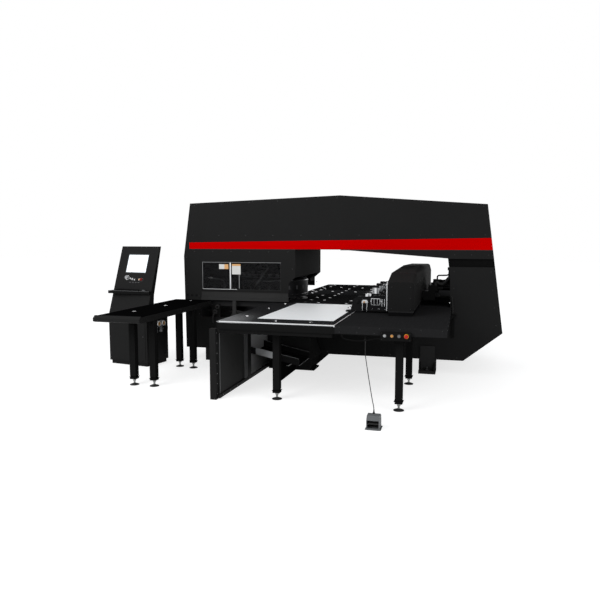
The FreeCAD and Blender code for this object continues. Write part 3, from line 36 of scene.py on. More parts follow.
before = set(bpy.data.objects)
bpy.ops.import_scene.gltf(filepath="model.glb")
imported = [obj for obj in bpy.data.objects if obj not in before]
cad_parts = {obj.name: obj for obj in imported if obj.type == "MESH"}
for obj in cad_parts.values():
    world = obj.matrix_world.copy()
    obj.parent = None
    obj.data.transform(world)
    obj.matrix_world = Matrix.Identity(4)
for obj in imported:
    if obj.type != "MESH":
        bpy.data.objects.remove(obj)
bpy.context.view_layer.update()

# ---- directions ----
TO_FRONT, TO_BACK, TO_LEFT, TO_RIGHT = (0.0, -1.0, 0.0), (0.0, 1.0, 0.0), (-1.0, 0.0, 0.0), (1.0, 0.0, 0.0)
UP = (0.0, 0.0, 1.0)
SIDES = (-1.0, 1.0)

# ---- the machine's main places, in metres ----
FRONT, REAR = -0.765, 0.765
PLATE_TOP, PASS_LINE = 0.868, 0.880
TURRET_X = -1.130
# the window's left and right sides, its sill and its head
WINDOW = (-1.925, -0.750, 1.050, 1.430)
SKIRT_FRONT, SKIRT_RIGHT = -2.769, 1.574
# the guard: its post's left and right faces, and the right face of its rails
GUARD_LEFT, GUARD_POST_RIGHT, GUARD_RIGHT = -0.945, -0.873, -0.840
# the button box and its row of buttons
BOX_FACE = -2.804
BUTTONS_X, STOP_BUTTON_X, BUTTONS_Z = (0.970, 1.042, 1.113), 1.184, 0.800
# the pedal's gland, and the place where its cord leaves the table
PEDAL_X, PEDAL_GLAND_Y = 0.935, -3.252
LEAD_TOP = (0.765, -2.736)
# rows of equal parts along the depth: end stops, stages of the air unit, sheet clamps
STOP_ROWS = (-0.600, 0.600)
AIR_STAGES = (0.165, 0.265)
CLAMP_ROWS = (-1.570, -1.220, -0.870)
# the middle of each leg of the front, rear and side table
FRONT_LEGS = ((1.105, -2.645), (-0.240, -2.550), (1.105, -1.470))
REAR_LEGS = ((1.105, 2.645), (-0.240, 2.645), (1.105, 1.470), (-0.838, 2.645), (-0.838, 1.470))
SIDE_LEGS = ((-2.110, -2.380), (-1.842, -2.380), (-2.060, -1.275), (-1.835, -1.316))

# ---- how meshes are dressed ----
# edges that bend more than CREASE are rounded, and shading breaks at more than SHARP
CREASE, SHARP = 0.5, math.radians(34.0)
# room left free of tufts round the middle of a transfer ball
BALL_ROOM = 0.034

# ---- frames of the parts that stand at an angle ----
# on a sloping face x runs across it, y up it and z out of it
CONSOLE = Matrix.Translation((-3.124, -1.337, 0.0)) @ Matrix.Rotation(math.radians(-10.0), 4, "Z")
CONSOLE_WIDTH, CONSOLE_WAIST = 0.672, 0.700
CONSOLE_LEAN = math.atan2(0.324, 0.960)
AIR_UNIT = CONSOLE @ Matrix.Translation((CONSOLE_WIDTH, 0.0, 0.0))
CONSOLE_FACE = (
    CONSOLE
    @ Matrix.Translation((0.0, 0.0, CONSOLE_WAIST))
    @ Matrix.Rotation(math.radians(90.0) - CONSOLE_LEAN, 4, "X")
)
RIGHT_SLOPE = math.atan2(0.227, 1.640)
RIGHT_END = Matrix((
    (0.0, -math.sin(RIGHT_SLOPE), math.cos(RIGHT_SLOPE), 2.217),
    (1.0, 0.0, 0.0, 0.0),
    (0.0, math.cos(RIGHT_SLOPE), math.sin(RIGHT_SLOPE), 0.562),
    (0.0, 0.0, 0.0, 1.0)))


# ---------------------------------------------------------------- colours and settings
def grey(level):
    return (level, level, level)


def shaded(colour, factor):
    return tuple(min(1.0, channel * factor) for channel in colour)


def paint(name, text, default):
    return FloatVectorProperty(
        name=name, description=text, subtype="COLOR", default=default, min=0.0, max=1.0)


def metres(name, text, default, least):
    return FloatProperty(name=name, description=text, default=default, min=least, unit="LENGTH")


def turn(name, text, degrees):
    return FloatProperty(name=name, description=text, default=math.radians(degrees), subtype="ANGLE")


class PressFinishes(bpy.types.PropertyGroup):
    cover: paint("Cover enamel", "Colour of the machine's and the console's covers", grey(0.0128))
    dark: paint("Black enamel", "Colour of legs, front table frame, end stops and scrap bin", grey(0.0088))
    stripe: paint("Stripe", "Colour of the stripe along the upper cover", (0.525, 0.0, 0.0))
    sheet: paint("Sheet metal", "Colour of the sheet being worked", (0.94, 0.98, 1.0))
    frames: paint("Grey enamel", "Colour of the guard's and the rear and side tables' frames", grey(0.013))


class StageSizes(bpy.types.PropertyGroup):
    lens: FloatProperty(
        name="Lens", description="Focal length on a 36 mm wide sensor", default=35.52, min=10.0,
        unit="CAMERA")
    place: FloatVectorProperty(
        name="Camera place", description="Where the camera stands", default=(1.70, -8.665, 1.75),
        subtype="TRANSLATION", unit="LENGTH")
    yaw: turn("Yaw", "Turn of the view to the left", 15.33)
    pitch: turn("Pitch", "Tilt of the view below the horizon", 5.78)
    floor: metres("Floor size", "Side of the square floor", 80.0, 10.0)


class PedalCordSizes(bpy.types.PropertyGroup):
    diameter: metres("Diameter", "Thickness of the pedal's cord", 0.008, 0.002)
    length: metres("Length", "Real length of the pedal's cord", 0.855, 0.1)


class DetailSizes(bpy.types.PropertyGroup):
    screw: metres("Cover screws", "Head radius of the screws that hold the covers", 0.007, 0.003)
    trim: metres("Window trim", "Width of the bright line round the window", 0.006, 0.002)
    louvre: metres("Louvre step", "Distance between the slats of the grilles", 0.026, 0.01)
    rivet: metres("Rivets", "Head radius of the guard's rivets", 0.0055, 0.002)


class BrushSizes(bpy.types.PropertyGroup):
    pitch: metres("Tuft pitch", "Distance between the tufts of the brush tables", 0.0475, 0.02)
    tuft: metres("Tuft radius", "Radius of one tuft at its tip", 0.0115, 0.003)
    ball: metres("Ball radius", "Radius of the transfer balls", 0.0095, 0.004)
    flange: metres("Ball flange", "Radius of the flange round a transfer ball", 0.022, 0.01)
    seed: IntProperty(name="Seed", description="Seed of the tufts' small differences", default=7, min=0)


# ---------------------------------------------------------------- node trees
class Signal:
    """An output of a node; Python's operators on it add Math nodes to the same tree."""

    def __init__(self, board, socket):
        self.board = board
        self.socket = socket

    def maths(self, operation, *terms):
        return self.board.add("ShaderNodeMath", {"operation": operation}, dict(enumerate(terms)))

    def __add__(self, other):
        return self.maths("ADD", self, other)

    def __radd__(self, other):
        return self.maths("ADD", other, self)

    def __sub__(self, other):
        return self.maths("SUBTRACT", self, other)

    def __rsub__(self, other):
        return self.maths("SUBTRACT", other, self)

    def __mul__(self, other):
        return self.maths("MULTIPLY", self, other)

    def __rmul__(self, other):
        return self.maths("MULTIPLY", other, self)

    def __truediv__(self, other):
        return self.maths("DIVIDE", self, other)

    def __rtruediv__(self, other):
        return self.maths("DIVIDE", other, self)

    def __gt__(self, other):
        return self.maths("GREATER_THAN", self, other)

    def __lt__(self, other):
        return self.maths("LESS_THAN", self, other)

    def root(self):
        return self.maths("SQRT", self)

    def sine(self):
        return self.maths("SINE", self)

    def sway(self, amount):
        """The signal's distance from one half, times the amount."""
        return (self - 0.5) * amount


class Board:
    """A node tree under construction, for a material, the world or a Geometry Nodes modifier."""

    def __init__(self, tree):
        self.tree = tree

    def put(self, socket, value):
        """Links a signal to a socket, or writes a plain value on it."""
        if isinstance(value, Signal):
            self.tree.links.new(value.socket, socket)
        else:
            socket.default_value = value

    def node(self, kind, settings=None, sockets=None):
        """A node of that type: its settings first, then the values or links of its sockets."""
        node = self.tree.nodes.new(kind)
        for key, value in (settings or {}).items():
            if key == "stops":
                self.set_stops(node.color_ramp, value)
            else:
                setattr(node, key, value)
        for key, value in (sockets or {}).items():
            self.put(self.find(node.inputs, key), value)
        return node

    def out(self, node, key=0):
        return Signal(self, self.find(node.outputs, key))

    def add(self, kind, settings=None, sockets=None, out=0):
        """A new node's output as a signal."""
        return self.out(self.node(kind, settings, sockets), out)

    @staticmethod
    def set_stops(ramp, stops):
        """Gives a ramp its pairs of a place and a grey level."""
        while len(ramp.elements) < len(stops):
            ramp.elements.new(1.0)
        for element, (place, level) in zip(ramp.elements, stops):
            element.position = place
            element.color = (level, level, level, 1.0)

    @staticmethod
    def find(sockets, key):
        if isinstance(key, int):
            return sockets[key]
        for socket in sockets:
            if socket.enabled and socket.name == key:
                return socket
        raise KeyError(f"no socket {key}")

    def parts(self, vector):
        """The three numbers of a vector as signals."""
        node = self.node("ShaderNodeSeparateXYZ", {}, {0: vector})
        return [Signal(self, socket) for socket in node.outputs]

    def seen(self):
        """1 for what the camera sees, straight, in gloss or through glass; 0 for what lights the machine."""
        rays = self.node("ShaderNodeLightPath")
        kinds = ("Camera", "Glossy", "Transmission")
        camera, gloss, glass = [self.out(rays, f"Is {kind} Ray") for kind in kinds]
        total = camera + gloss + glass
        return total.maths("MINIMUM", total, 1.0)

    def finish_with(self, kind, lighting, shown):
        """Ends the tree with one shader that lights the machine and one that the camera is shown."""
        mixed = self.add("ShaderNodeMixShader", {}, {0: self.seen(), 1: lighting, 2: shown})
        end = next(node for node in self.tree.nodes if node.type == kind)
        self.put(end.inputs["Surface"], mixed)


class Finish(Board):
    """One procedural material on the object's own coordinates."""

    def __init__(self, name, **constants):
        self.material = bpy.data.materials.new(name)
        self.material.use_nodes = True
        super().__init__(self.material.node_tree)
        self.shader = next(n for n in self.tree.nodes if n.type == "BSDF_PRINCIPLED")
        self.send(**constants)

    def send(self, **inputs):
        for key, value in inputs.items():
            self.put(self.shader.inputs[key.replace("_", " ")], value)
        return self.material

    def coords(self, scale=(1.0, 1.0, 1.0), centre=(0.0, 0.0, 0.0), turned=(0.0, 0.0, 0.0)):
        """Object coordinates taken from a centre, turned and then scaled."""
        here = self.add("ShaderNodeTexCoord", out="Object")
        moves = (("Location", [-value for value in centre]), ("Rotation", turned), ("Scale", scale))
        for key, value in moves:
            here = self.add("ShaderNodeMapping", {}, {"Vector": here, key: value})
        return here

    def noise(self, size, where=None, detail=2.0, rough=0.5):
        """Noise whose features are about size metres across."""
        sockets = {"Scale": 1.0 / size, "Detail": detail, "Roughness": rough}
        sockets["Vector"] = where if where is not None else self.coords()
        return self.add("ShaderNodeTexNoise", {}, sockets)

    def ramp(self, value, *stops):
        return self.add("ShaderNodeValToRGB", {"stops": stops}, {0: value})

    def cover(self, mask, under, over):
        """Goes from one colour or colour signal to the other with the mask."""
        ends = [shade if isinstance(shade, Signal) else (*shade, 1.0) for shade in (under, over)]
        return self.add("ShaderNodeMix", {"data_type": "RGBA"}, {0: mask, 6: ends[0], 7: ends[1]}, out=2)

    def mottle(self, mask, colour, dark, light):
        """Goes from a darker to a lighter tone of one colour with the mask."""
        return self.cover(mask, shaded(colour, dark), shaded(colour, light))

    def inside(self, low, high):
        """1 inside a box and 0 outside."""
        mask = None
        for value, near, far in zip(self.parts(self.coords()), low, high):
            here = (value > near) * (value < far)
            mask = here if mask is None else mask * here
        return mask

    def bump(self, height, depth):
        """Relief of that depth in metres."""
        return self.add("ShaderNodeBump", {}, {"Height": height, "Distance": depth, "Strength": 1.0})


# ---------------------------------------------------------------- finishes
def enamel(name, colour, roughness=0.55, level=0.04, peel=0.00012, tone=1.0, zones=()):
    """Sprayed machine enamel: slow changes of tone, fine orange peel, wipe marks and a little settled dust.

    Each zone is a box's low corner, its high corner and the colour inside it.
    """
    f = Finish(name, Specular_IOR_Level=level)
    colour = shaded(colour, tone)
    cloud = f.noise(0.9, detail=3.0)
    wiped = f.noise(0.05, f.coords((1.0, 1.0, 0.12)), detail=3.0, rough=0.6)
    dust = f.ramp(f.noise(0.0009, detail=0.0), (0.69, 0.0), (0.78, 1.0))
    base = f.mottle(cloud, colour, 0.86, 1.14)
    for low, high, other in zones:
        base = f.cover(f.inside(low, high), base, f.mottle(cloud, other, 0.86, 1.14))
    return f.send(
        Base_Color=f.cover(dust * 0.25, base, shaded(colour, 1.9)),
        Roughness=cloud.sway(0.16) + wiped.sway(0.14) + roughness,
        Normal=f.bump(f.noise(0.0028, detail=1.0), peel))


def powder_coat(name, colour, roughness=0.62):
    """Textured powder coat, with small lighter rubs."""
    f = Finish(name, Specular_IOR_Level=0.2)
    cloud = f.noise(0.35, detail=3.0)
    rub = f.ramp(f.noise(0.06, detail=6.0, rough=0.75), (0.66, 0.0), (0.74, 1.0))
    return f.send(
        Base_Color=f.cover(rub * 0.35, f.mottle(cloud, colour, 0.85, 1.15), shaded(colour, 2.2)),
        Roughness=cloud.sway(0.2) + roughness,
        Normal=f.bump(f.noise(0.0016, detail=2.0, rough=0.7), 0.0002))


def gloss_paint(name, colour, roughness=0.3, level=0.1):
    """Smooth gloss paint, a touch uneven."""
    f = Finish(name, Specular_IOR_Level=level)
    cloud = f.noise(0.6, detail=3.0)
    return f.send(
        Base_Color=f.mottle(cloud, colour, 0.94, 1.05),
        Roughness=cloud.sway(0.14) + roughness,
        Normal=f.bump(f.noise(0.004, detail=1.0), 0.00006))


def brushed(name, colour, along="X", roughness=0.34, metallic=1.0):
    """Ground metal: fine grain lines along one axis and a few deeper scratches."""
    f = Finish(name, Metallic=metallic)
    stretch = [0.02 if axis == along else 1.0 for axis in "XYZ"]
    lines = f.noise(0.0012, f.coords(stretch), detail=3.0, rough=0.7)
    cloud = f.noise(0.12, detail=4.0, rough=0.6)
    across = f.noise(0.004, f.coords(stretch, turned=(0.05, 0.09, 0.12)), detail=2.0)
    scratch = f.ramp(across, (0.7, 0.0), (0.74, 1.0))
    return f.send(
        Base_Color=f.cover(scratch * 0.3, f.mottle(cloud, colour, 0.8, 1.1), shaded(colour, 0.5)),
        Roughness=lines.sway(0.3) + cloud.sway(0.2) + roughness,
        Normal=f.bump(lines, 0.00004))


def turned_steel(name, colour, centre, roughness=0.36):
    """Lathe-turned steel: fine rings about an upright axis, with an oily tone in places."""
    f = Finish(name, Metallic=1.0)
    x, y, z = f.parts(f.coords(centre=centre))
    rings = ((x * x + y * y).root() * 2600.0 + z * 1900.0).sine()
    oil = f.noise(0.07, detail=4.0, rough=0.65)
    return f.send(
        Base_Color=f.mottle(oil, colour, 0.7, 1.12),
        Roughness=oil.sway(0.35) + roughness,
        Normal=f.bump(rings * 0.5 + 0.5, 0.00003))


def threaded_steel(name, colour, pitch):
    """A ball screw: bright steel whose groove winds along it."""
    f = Finish(name, Metallic=1.0)
    x, y, _ = f.parts(f.coords())
    groove = ((x + y) * (2.0 * math.pi / pitch)).sine()
    mask = f.ramp(groove * 0.5 + 0.5, (0.0, 0.0), (0.5, 1.0))
    return f.send(
        Base_Color=f.mottle(mask, colour, 0.35, 1.0),
        Roughness=f.noise(0.03, detail=3.0).sway(0.2) + 0.3,
        Normal=f.bump(mask, 0.0015))


def black_plate(name, colour, side=None):
    """Oiled black steel plate, rubbed in streaks the way that sheets travel; the side table can differ."""
    f = Finish(name, Specular_IOR_Level=0.0)
    streaks = f.noise(0.012, f.coords((1.0, 0.05, 1.0)), detail=4.0, rough=0.65)
    cloud = f.noise(0.4, detail=4.0, rough=0.6)
    base = f.mottle(streaks, colour, 0.7, 1.35)
    if side:
        base = f.cover(f.inside((-3.0, -3.0, 0.0), (-1.7, 0.0, 1.0)), base, side)
    return f.send(
        Base_Color=base,
        Roughness=streaks.sway(0.22) + cloud.sway(0.2) + 0.6,
        Normal=f.bump(f.noise(0.0012, detail=1.0), 0.00006))


def blank_sheet(name, colour):
    """The sheet being worked: milled galvanised metal with a soft spangle."""
    f = Finish(name, Metallic=0.0, Specular_IOR_Level=0.3)
    cells = f.add("ShaderNodeTexVoronoi", {}, {"Scale": 55.0, "Vector": f.coords()})
    rolled = f.noise(0.006, f.coords((1.0, 0.03, 1.0)), detail=3.0)
    return f.send(
        Base_Color=f.mottle(cells * 0.5 + rolled * 0.5, colour, 0.93, 1.04),
        Roughness=rolled.sway(0.2) + (cells - 0.4) * 0.1 + 0.42)


def smoked_sheet(name, colour, alpha=0.5, level=0.45):
    """Tinted clear plastic with faint wipe streaks."""
    f = Finish(name, Alpha=alpha, Specular_IOR_Level=level)
    wiped = f.noise(0.02, f.coords((0.3, 1.0, 1.0)), detail=3.0)
    return f.send(Base_Color=f.mottle(wiped, colour, 1.0, 1.6), Roughness=wiped * 0.12 + 0.03)


def moulded(name, colour, roughness=0.45, level=0.4):
    """Moulded plastic with a fine spark-eroded texture."""
    f = Finish(name, Specular_IOR_Level=level)
    cloud = f.noise(0.05, detail=3.0)
    return f.send(
        Base_Color=f.mottle(cloud, colour, 0.9, 1.1),
        Roughness=cloud.sway(0.15) + roughness,
        Normal=f.bump(f.noise(0.0009, detail=1.0), 0.00008))


def rubber(name, colour):
    """Matt black rubber, faintly greyed by handling."""
    f = Finish(name, Specular_IOR_Level=0.25)
    bloom = f.noise(0.04, detail=4.0, rough=0.65)
    return f.send(
        Base_Color=f.mottle(bloom, colour, 0.7, 1.8),
        Roughness=bloom * 0.25 + 0.55,
        Normal=f.bump(f.noise(0.0007, detail=1.0), 0.00008))


def nylon_tuft(name, colour):
    """Bristle tufts: streaks that run up each tuft."""
    f = Finish(name, Specular_IOR_Level=0.0)
    strands = f.noise(0.0011, f.coords((1.0, 1.0, 0.06)), detail=2.0, rough=0.7)
    return f.send(
        Base_Color=f.mottle(strands, colour, 0.35, 1.5),
        Roughness=strands * 0.3 + 0.4,
        Normal=f.bump(strands, 0.0006))


def brush_with_painted_sheen(name, colour, pale):
    """The front brush table: dark tufts and plate, with a painted sheen of light that makes them paler
    towards the left front corner.
    """
    f = Finish(name, Specular_IOR_Level=0.0)
    x, y, _ = f.parts(f.coords(centre=(-0.86, -2.75, PLATE_TOP)))
    patch = f.noise(0.03, detail=3.0, rough=0.7)
    strands = f.noise(0.0012, detail=2.0, rough=0.7)
    reach = (x * x * 4.0 + y * y).root() + patch.sway(0.25)
    # painted highlight: the base colour turns pale near the left front corner, as a glare of light on the
    # bristle tips
    painted_sheen = f.ramp(reach, (0.30, 1.0), (0.58, 0.55), (0.74, 0.20), (1.0, 0.08))
    return f.send(
        Base_Color=f.cover(painted_sheen, f.mottle(strands, colour, 0.6, 1.5), f.mottle(strands, pale, 0.7, 1.2)),
        Roughness=strands * 0.2 + 0.45,
        Normal=f.bump(strands, 0.0003))


def zinc(name, colour):
    """Zinc-plated small parts, with dulled patches."""
    f = Finish(name, Metallic=0.9)
    patch = f.noise(0.015, detail=4.0, rough=0.7)
    return f.send(Base_Color=f.mottle(patch, colour, 0.65, 1.1), Roughness=patch * 0.35 + 0.25)


def foot_metal(name, colour):
    """Levelling feet: a black pad below, a zinc-plated stud above."""
    f = Finish(name)
    stud = f.parts(f.coords())[2] > 0.028
    patch = f.noise(0.015, detail=4.0, rough=0.7)
    return f.send(
        Base_Color=f.cover(stud, grey(0.008), f.mottle(patch, colour, 0.65, 1.1)),
        Metallic=stud * 0.9,
        Roughness=patch * 0.35 + 0.4 - stud * 0.15)


def lit(name, colour):
    """A lit screen: pale, with a faint even line pattern."""
    f = Finish(name, Emission_Strength=1.0, Roughness=0.2, Specular_IOR_Level=0.4)
    rows = (f.parts(f.coords())[2] * 2600.0).sine()
    glow = f.noise(0.25, detail=1.0)
    return f.send(
        Base_Color=f.mottle(glow, colour, 0.5, 0.6),
        Emission_Color=f.mottle(rows * 0.04 + glow, colour, 0.9, 1.0))


# painted shade: a near-black band across the column cover for the shadow in the gap between its panels
PAINTED_SHADE_BAND = ((1.5, -0.80, 1.404), (2.3, 0.80, 1.509), grey(0.002))
# painted light: the inner face of the guard's rear panel, deep in shade under the table, is coloured far
# paler than the guard's own grey
PAINTED_LIGHT_GUARD_PANEL = ((-0.8585, -1.736, 0.0), (-0.80, -0.70, 0.80), (0.40, 0.40, 0.402))
# each finish: what makes it, its colour or the setting that holds it, and what else differs
FINISHES = {
    "cover_enamel": (enamel, "cover", {}),
    "column_enamel": (enamel, "cover", dict(zones=(PAINTED_SHADE_BAND,))),
    "beam_enamel": (enamel, "cover", dict(roughness=0.62, level=0.008, tone=1.08)),
    "black_enamel": (enamel, "dark", dict(roughness=0.6, level=0.0)),
    # painted light: the pedestals' black enamel made over three times paler, to lift them out of the shade
    # under the tables
    "pedestal_paint": (enamel, grey(0.030), dict(roughness=0.6, level=0.0)),
    "liner_enamel": (enamel, grey(0.012), dict(roughness=0.6, level=0.012)),
    "frame_paint": (enamel, (0.012, 0.012, 0.013), dict(roughness=0.6, peel=0.0003)),
    "grey_enamel": (enamel, "frames", dict(level=0.03)),
    "guard_grey": (enamel, grey(0.031), dict(roughness=0.6, level=0.02, zones=(PAINTED_LIGHT_GUARD_PANEL,))),
    # painted light: a far paler copy of the guard's grey for the stile, which stands in shade under the table
    "post_grey": (enamel, (0.11, 0.11, 0.112), dict(roughness=0.6, level=0.03)),
    "clamp_steel": (enamel, (0.010, 0.010, 0.0105), dict(roughness=0.5, level=0.03)),
    "pedal_paint": (powder_coat, (0.12, 0.125, 0.13), {}),
    "stripe_red": (gloss_paint, "stripe", dict(roughness=0.4, level=0.0)),
    "label_white": (gloss_paint, (0.72, 0.72, 0.70), {}),
    "label_orange": (gloss_paint, (0.75, 0.42, 0.18), {}),
    "label_grey": (gloss_paint, (0.10, 0.10, 0.105), {}),
    "yellow_ring": (gloss_paint, (0.80, 0.42, 0.02), {}),
    "gauge_face": (gloss_paint, (0.80, 0.46, 0.20), {}),
    "table_plate": (black_plate, (0.022, 0.022, 0.0225), {}),
    "plain_plate": (black_plate, (0.0158, 0.0158, 0.0164), dict(side=(0.0022, 0.0022, 0.0023))),
    "sheet_metal": (blank_sheet, "sheet", {}),
    "bright_steel": (brushed, (0.36, 0.37, 0.38), dict(along="Y", roughness=0.35)),
    "tool_steel": (brushed, (0.22, 0.225, 0.23), dict(along="Z", roughness=0.38)),
    "aluminium_strip": (brushed, (0.62, 0.63, 0.64), dict(along="Y", roughness=0.4, metallic=0.9)),
    "dull_aluminium": (brushed, (0.22, 0.225, 0.23), dict(along="Y", roughness=0.55, metallic=0.05)),
    "ball_steel": (brushed, (0.62, 0.62, 0.63), dict(roughness=0.2)),
    "chrome": (brushed, (0.68, 0.69, 0.70), dict(along="Z", roughness=0.16)),
    "black_screw": (brushed, (0.020, 0.020, 0.021), dict(roughness=0.42, metallic=0.6)),
    "turret_steel": (turned_steel, (0.035, 0.035, 0.037), dict(centre=(TURRET_X, 0.0, 0.0), roughness=0.5)),
    "screw_steel": (threaded_steel, (0.45, 0.46, 0.47), dict(pitch=0.012)),
    "zinc_foot": (zinc, (0.42, 0.43, 0.42), {}),
    "levelling_foot": (foot_metal, (0.20, 0.205, 0.20), {}),
    "smoked_pane": (smoked_sheet, (0.005, 0.005, 0.0055), dict(level=0.1)),
    "clear_bowl": (smoked_sheet, (0.10, 0.11, 0.12), dict(alpha=0.4)),
    "rubber_black": (rubber, grey(0.012), {}),
    "seam_shadow": (rubber, grey(0.002), {}),
    "nylon": (nylon_tuft, (0.008, 0.008, 0.0085), {}),
    # the pale colour is a painted sheen of light on the front brush table's left front corner
    "brush_front": (brush_with_painted_sheen, (0.010, 0.010, 0.011), dict(pale=(0.245, 0.248, 0.252))),
    "plastic_black": (moulded, grey(0.009), dict(roughness=0.6, level=0.0)),
    "plastic_grey": (moulded, (0.06, 0.062, 0.064), {}),
    "air_grey": (moulded, (0.26, 0.262, 0.265), dict(level=0.2)),
    "button_white": (moulded, (0.34, 0.345, 0.35), dict(roughness=0.35, level=0.2)),
    "button_amber": (moulded, (0.52, 0.25, 0.07), dict(roughness=0.35, level=0.2)),
    "button_grey": (moulded, (0.13, 0.13, 0.135), dict(roughness=0.35, level=0.2)),
    "button_red": (moulded, (0.42, 0.012, 0.01), dict(roughness=0.3, level=0.2)),
    "deep_red": (moulded, (0.14, 0.008, 0.007), dict(roughness=0.4, level=0.1)),
    "screen_glow": (lit, (0.86, 0.93, 0.98), {}),
}
# the finishes made so far, each under its name
MADE = {}


def finish(name):
    """The material of that name, made when it is first asked for."""
    if name not in MADE:
        maker, colour, options = FINISHES[name]
        if isinstance(colour, str):
            colour = tuple(getattr(bpy.context.scene.press_finishes, colour))
        MADE[name] = maker(name, colour, **options)
    return MADE[name]


# ---------------------------------------------------------------- shapes
def circle(origin, axis, radius, height, sides):
    """Points round an axis at that height; where the radius is nothing, the one point on the axis."""
    tilt = Vector(axis).normalized().to_track_quat("Z", "Y").to_matrix()
    angles = [2.0 * math.pi * i / sides for i in range(sides if radius > 0.0 else 1)]
    flat = [Vector((radius * math.cos(a), radius * math.sin(a), height)) for a in angles]
    return [Vector(origin) + tilt @ point for point in flat]


class Form:
    """A mesh under construction; each shape is closed, and placed through the form's own matrix."""

    def __init__(self, place=None):
        self.mesh = bmesh.new()
        self.place = place or Matrix()

    def take(self, points, faces):
        corners = [self.mesh.verts.new(self.place @ Vector(p)) for p in points]
        return [self.mesh.faces.new([corners[i] for i in face]) for face in faces]

    def soften(self, faces, width, steps=2):
        edges = {edge for face in faces for edge in face.edges if edge.calc_face_angle(0.0) > CREASE}
        bmesh.ops.recalc_face_normals(self.mesh, faces=faces)
        bmesh.ops.bevel(
            self.mesh, geom=list(edges), offset=width, segments=steps, affect="EDGES", profile=0.6,
            clamp_overlap=True)

    def block(self, low, high, soft=0.0, steps=2):
        """A box between two corners, with its edges rounded."""
        (x0, y0, z0), (x1, y1, z1) = low, high
        points = [(x, y, z) for x in (x0, x1) for y in (y0, y1) for z in (z0, z1)]
        sides = [(0, 1, 3, 2), (4, 6, 7, 5), (0, 4, 5, 1), (2, 3, 7, 6), (0, 2, 6, 4), (1, 5, 7, 3)]
        faces = self.take(points, sides)
        if soft:
            self.soften(faces, soft, steps)

    def square(self, x, y, half, low, high, soft, steps=2):
        """A square box about an upright line, from one height to the other."""
        self.block((x - half, y - half, low), (x + half, y + half, high), soft, steps)

    def prism(self, outline, push, soft=0.0):
        """A flat outline pushed along a vector."""
        count = len(outline)
        points = [Vector(p) for p in outline] + [Vector(p) + Vector(push) for p in outline]
        faces = [tuple(range(count)), tuple(range(2 * count - 1, count - 1, -1))]
        faces += [(i, i + count, (i + 1) % count + count, (i + 1) % count) for i in range(count)]
        made = self.take(points, faces)
        if soft:
            self.soften(made, soft)

    def turned(self, origin, axis, profile, sides=24):
        """A profile of (radius, height) pairs turned about an axis, closed at both ends."""
        points, rings = [], []
        for radius, height in profile:
            ring = circle(origin, axis, radius, height, sides)
            rings.append(range(len(points), len(points) + len(ring)))
            points += ring
        faces = [tuple(ring) for ring in (rings[0][::-1], rings[-1]) if len(ring) > 1]
        for below, above in zip(rings, rings[1:]):
            for i in range(sides):
                j = (i + 1) % sides
                around = ((below, i), (below, j), (above, j), (above, i))
                band = tuple(dict.fromkeys(ring[k % len(ring)] for ring, k in around))
                if len(band) > 2:
                    faces.append(band)
        self.take(points, faces)

    def rod(self, start, end, radius, sides=16):
        """A round bar with chamfered ends."""
        start, end = Vector(start), Vector(end)
        length = (end - start).length
        edge = min(radius * 0.15, length * 0.2)
        profile = [(radius - edge, 0.0), (radius, edge), (radius, length - edge), (radius - edge, length)]
        self.turned(start, end - start, profile, sides)

    def disc(self, origin, axis, radius, height, sides=24):
        self.turned(origin, axis, [(0.0, 0.0), (radius, 0.0), (radius, height), (0.0, height)], sides)

    def knob(self, origin, axis, radius, shoulder, crown, height, sides=24):
        """A disc that narrows from its shoulder's height to the radius of its crown."""
        profile = [(0.0, 0.0), (radius, 0.0), (radius, shoulder), (crown, height), (0.0, height)]
        self.turned(origin, axis, profile, sides)

    def ring(self, origin, axis, outer, inner, height, sides=32):
        """A flat ring with chamfered rims, made of equal spokes of the same section."""
        edge = min(height, outer - inner) * 0.2
        section = [
            (inner + edge, 0.0), (outer - edge, 0.0), (outer, edge), (outer, height - edge),
            (outer - edge, height), (inner + edge, height), (inner, height - edge), (inner, edge)]
        circles = [circle(origin, axis, radius, level, sides) for radius, level in section]
        count = len(section)
        faces = []
        for i in range(sides):
            j = (i + 1) % sides
            for k in range(count):
                m = (k + 1) % count
                faces.append((i * count + k, i * count + m, j * count + m, j * count + k))
        self.take([point for spoke in zip(*circles) for point in spoke], faces)

    def hinge(self, middle, along, radius):
        """Three knuckles in line, about a middle, with narrow gaps between them."""
        knuckle, step = 0.0195, 0.0205
        for part in range(3):
            low = Vector(middle) + Vector(along) * (part * step - 0.03)
            self.rod(low, low + Vector(along) * knuckle, radius, 14)

    def handle(self, first, last, out, radius, bar, over, sides=(12, 12)):
        """A pull bar that two feet hold away from the surface; the bar runs a little over both of them."""
        first, last, out = Vector(first), Vector(last), Vector(out)
        reach = (last - first).normalized() * over
        self.rod(first, first + out, radius, sides[0])
        self.rod(last, last + out, radius, sides[0])
        self.rod(first + out - reach, last + out + reach, bar, sides[1])

    def done(self, name, coat, body="machine"):
        bmesh.ops.recalc_face_normals(self.mesh, faces=self.mesh.faces[:])
        mesh = bpy.data.meshes.new(name)
        self.mesh.to_mesh(mesh)
        self.mesh.free()
        mesh.shade_smooth()
        return fitted(name, mesh, coat, body)


def fitted(name, mesh, coat, body="machine"):
    """Puts a finished mesh in the scene with its finish, body and material slot."""
    mesh.set_sharp_from_angle(angle=SHARP)
    mesh.materials.clear()
    mesh.materials.append(finish(coat))
    thing = bpy.data.objects.new(name, mesh)
    bpy.context.scene.collection.objects.link(thing)
    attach(thing, body)
    return thing


def blocks(name, coat, *boxes, body="machine", place=None):
    """One piece made of boxes; each is a low corner, a high corner and how far its edges are rounded."""
    form = Form(place)
    for box in boxes:
        form.block(*box)
    form.done(name, coat, body)


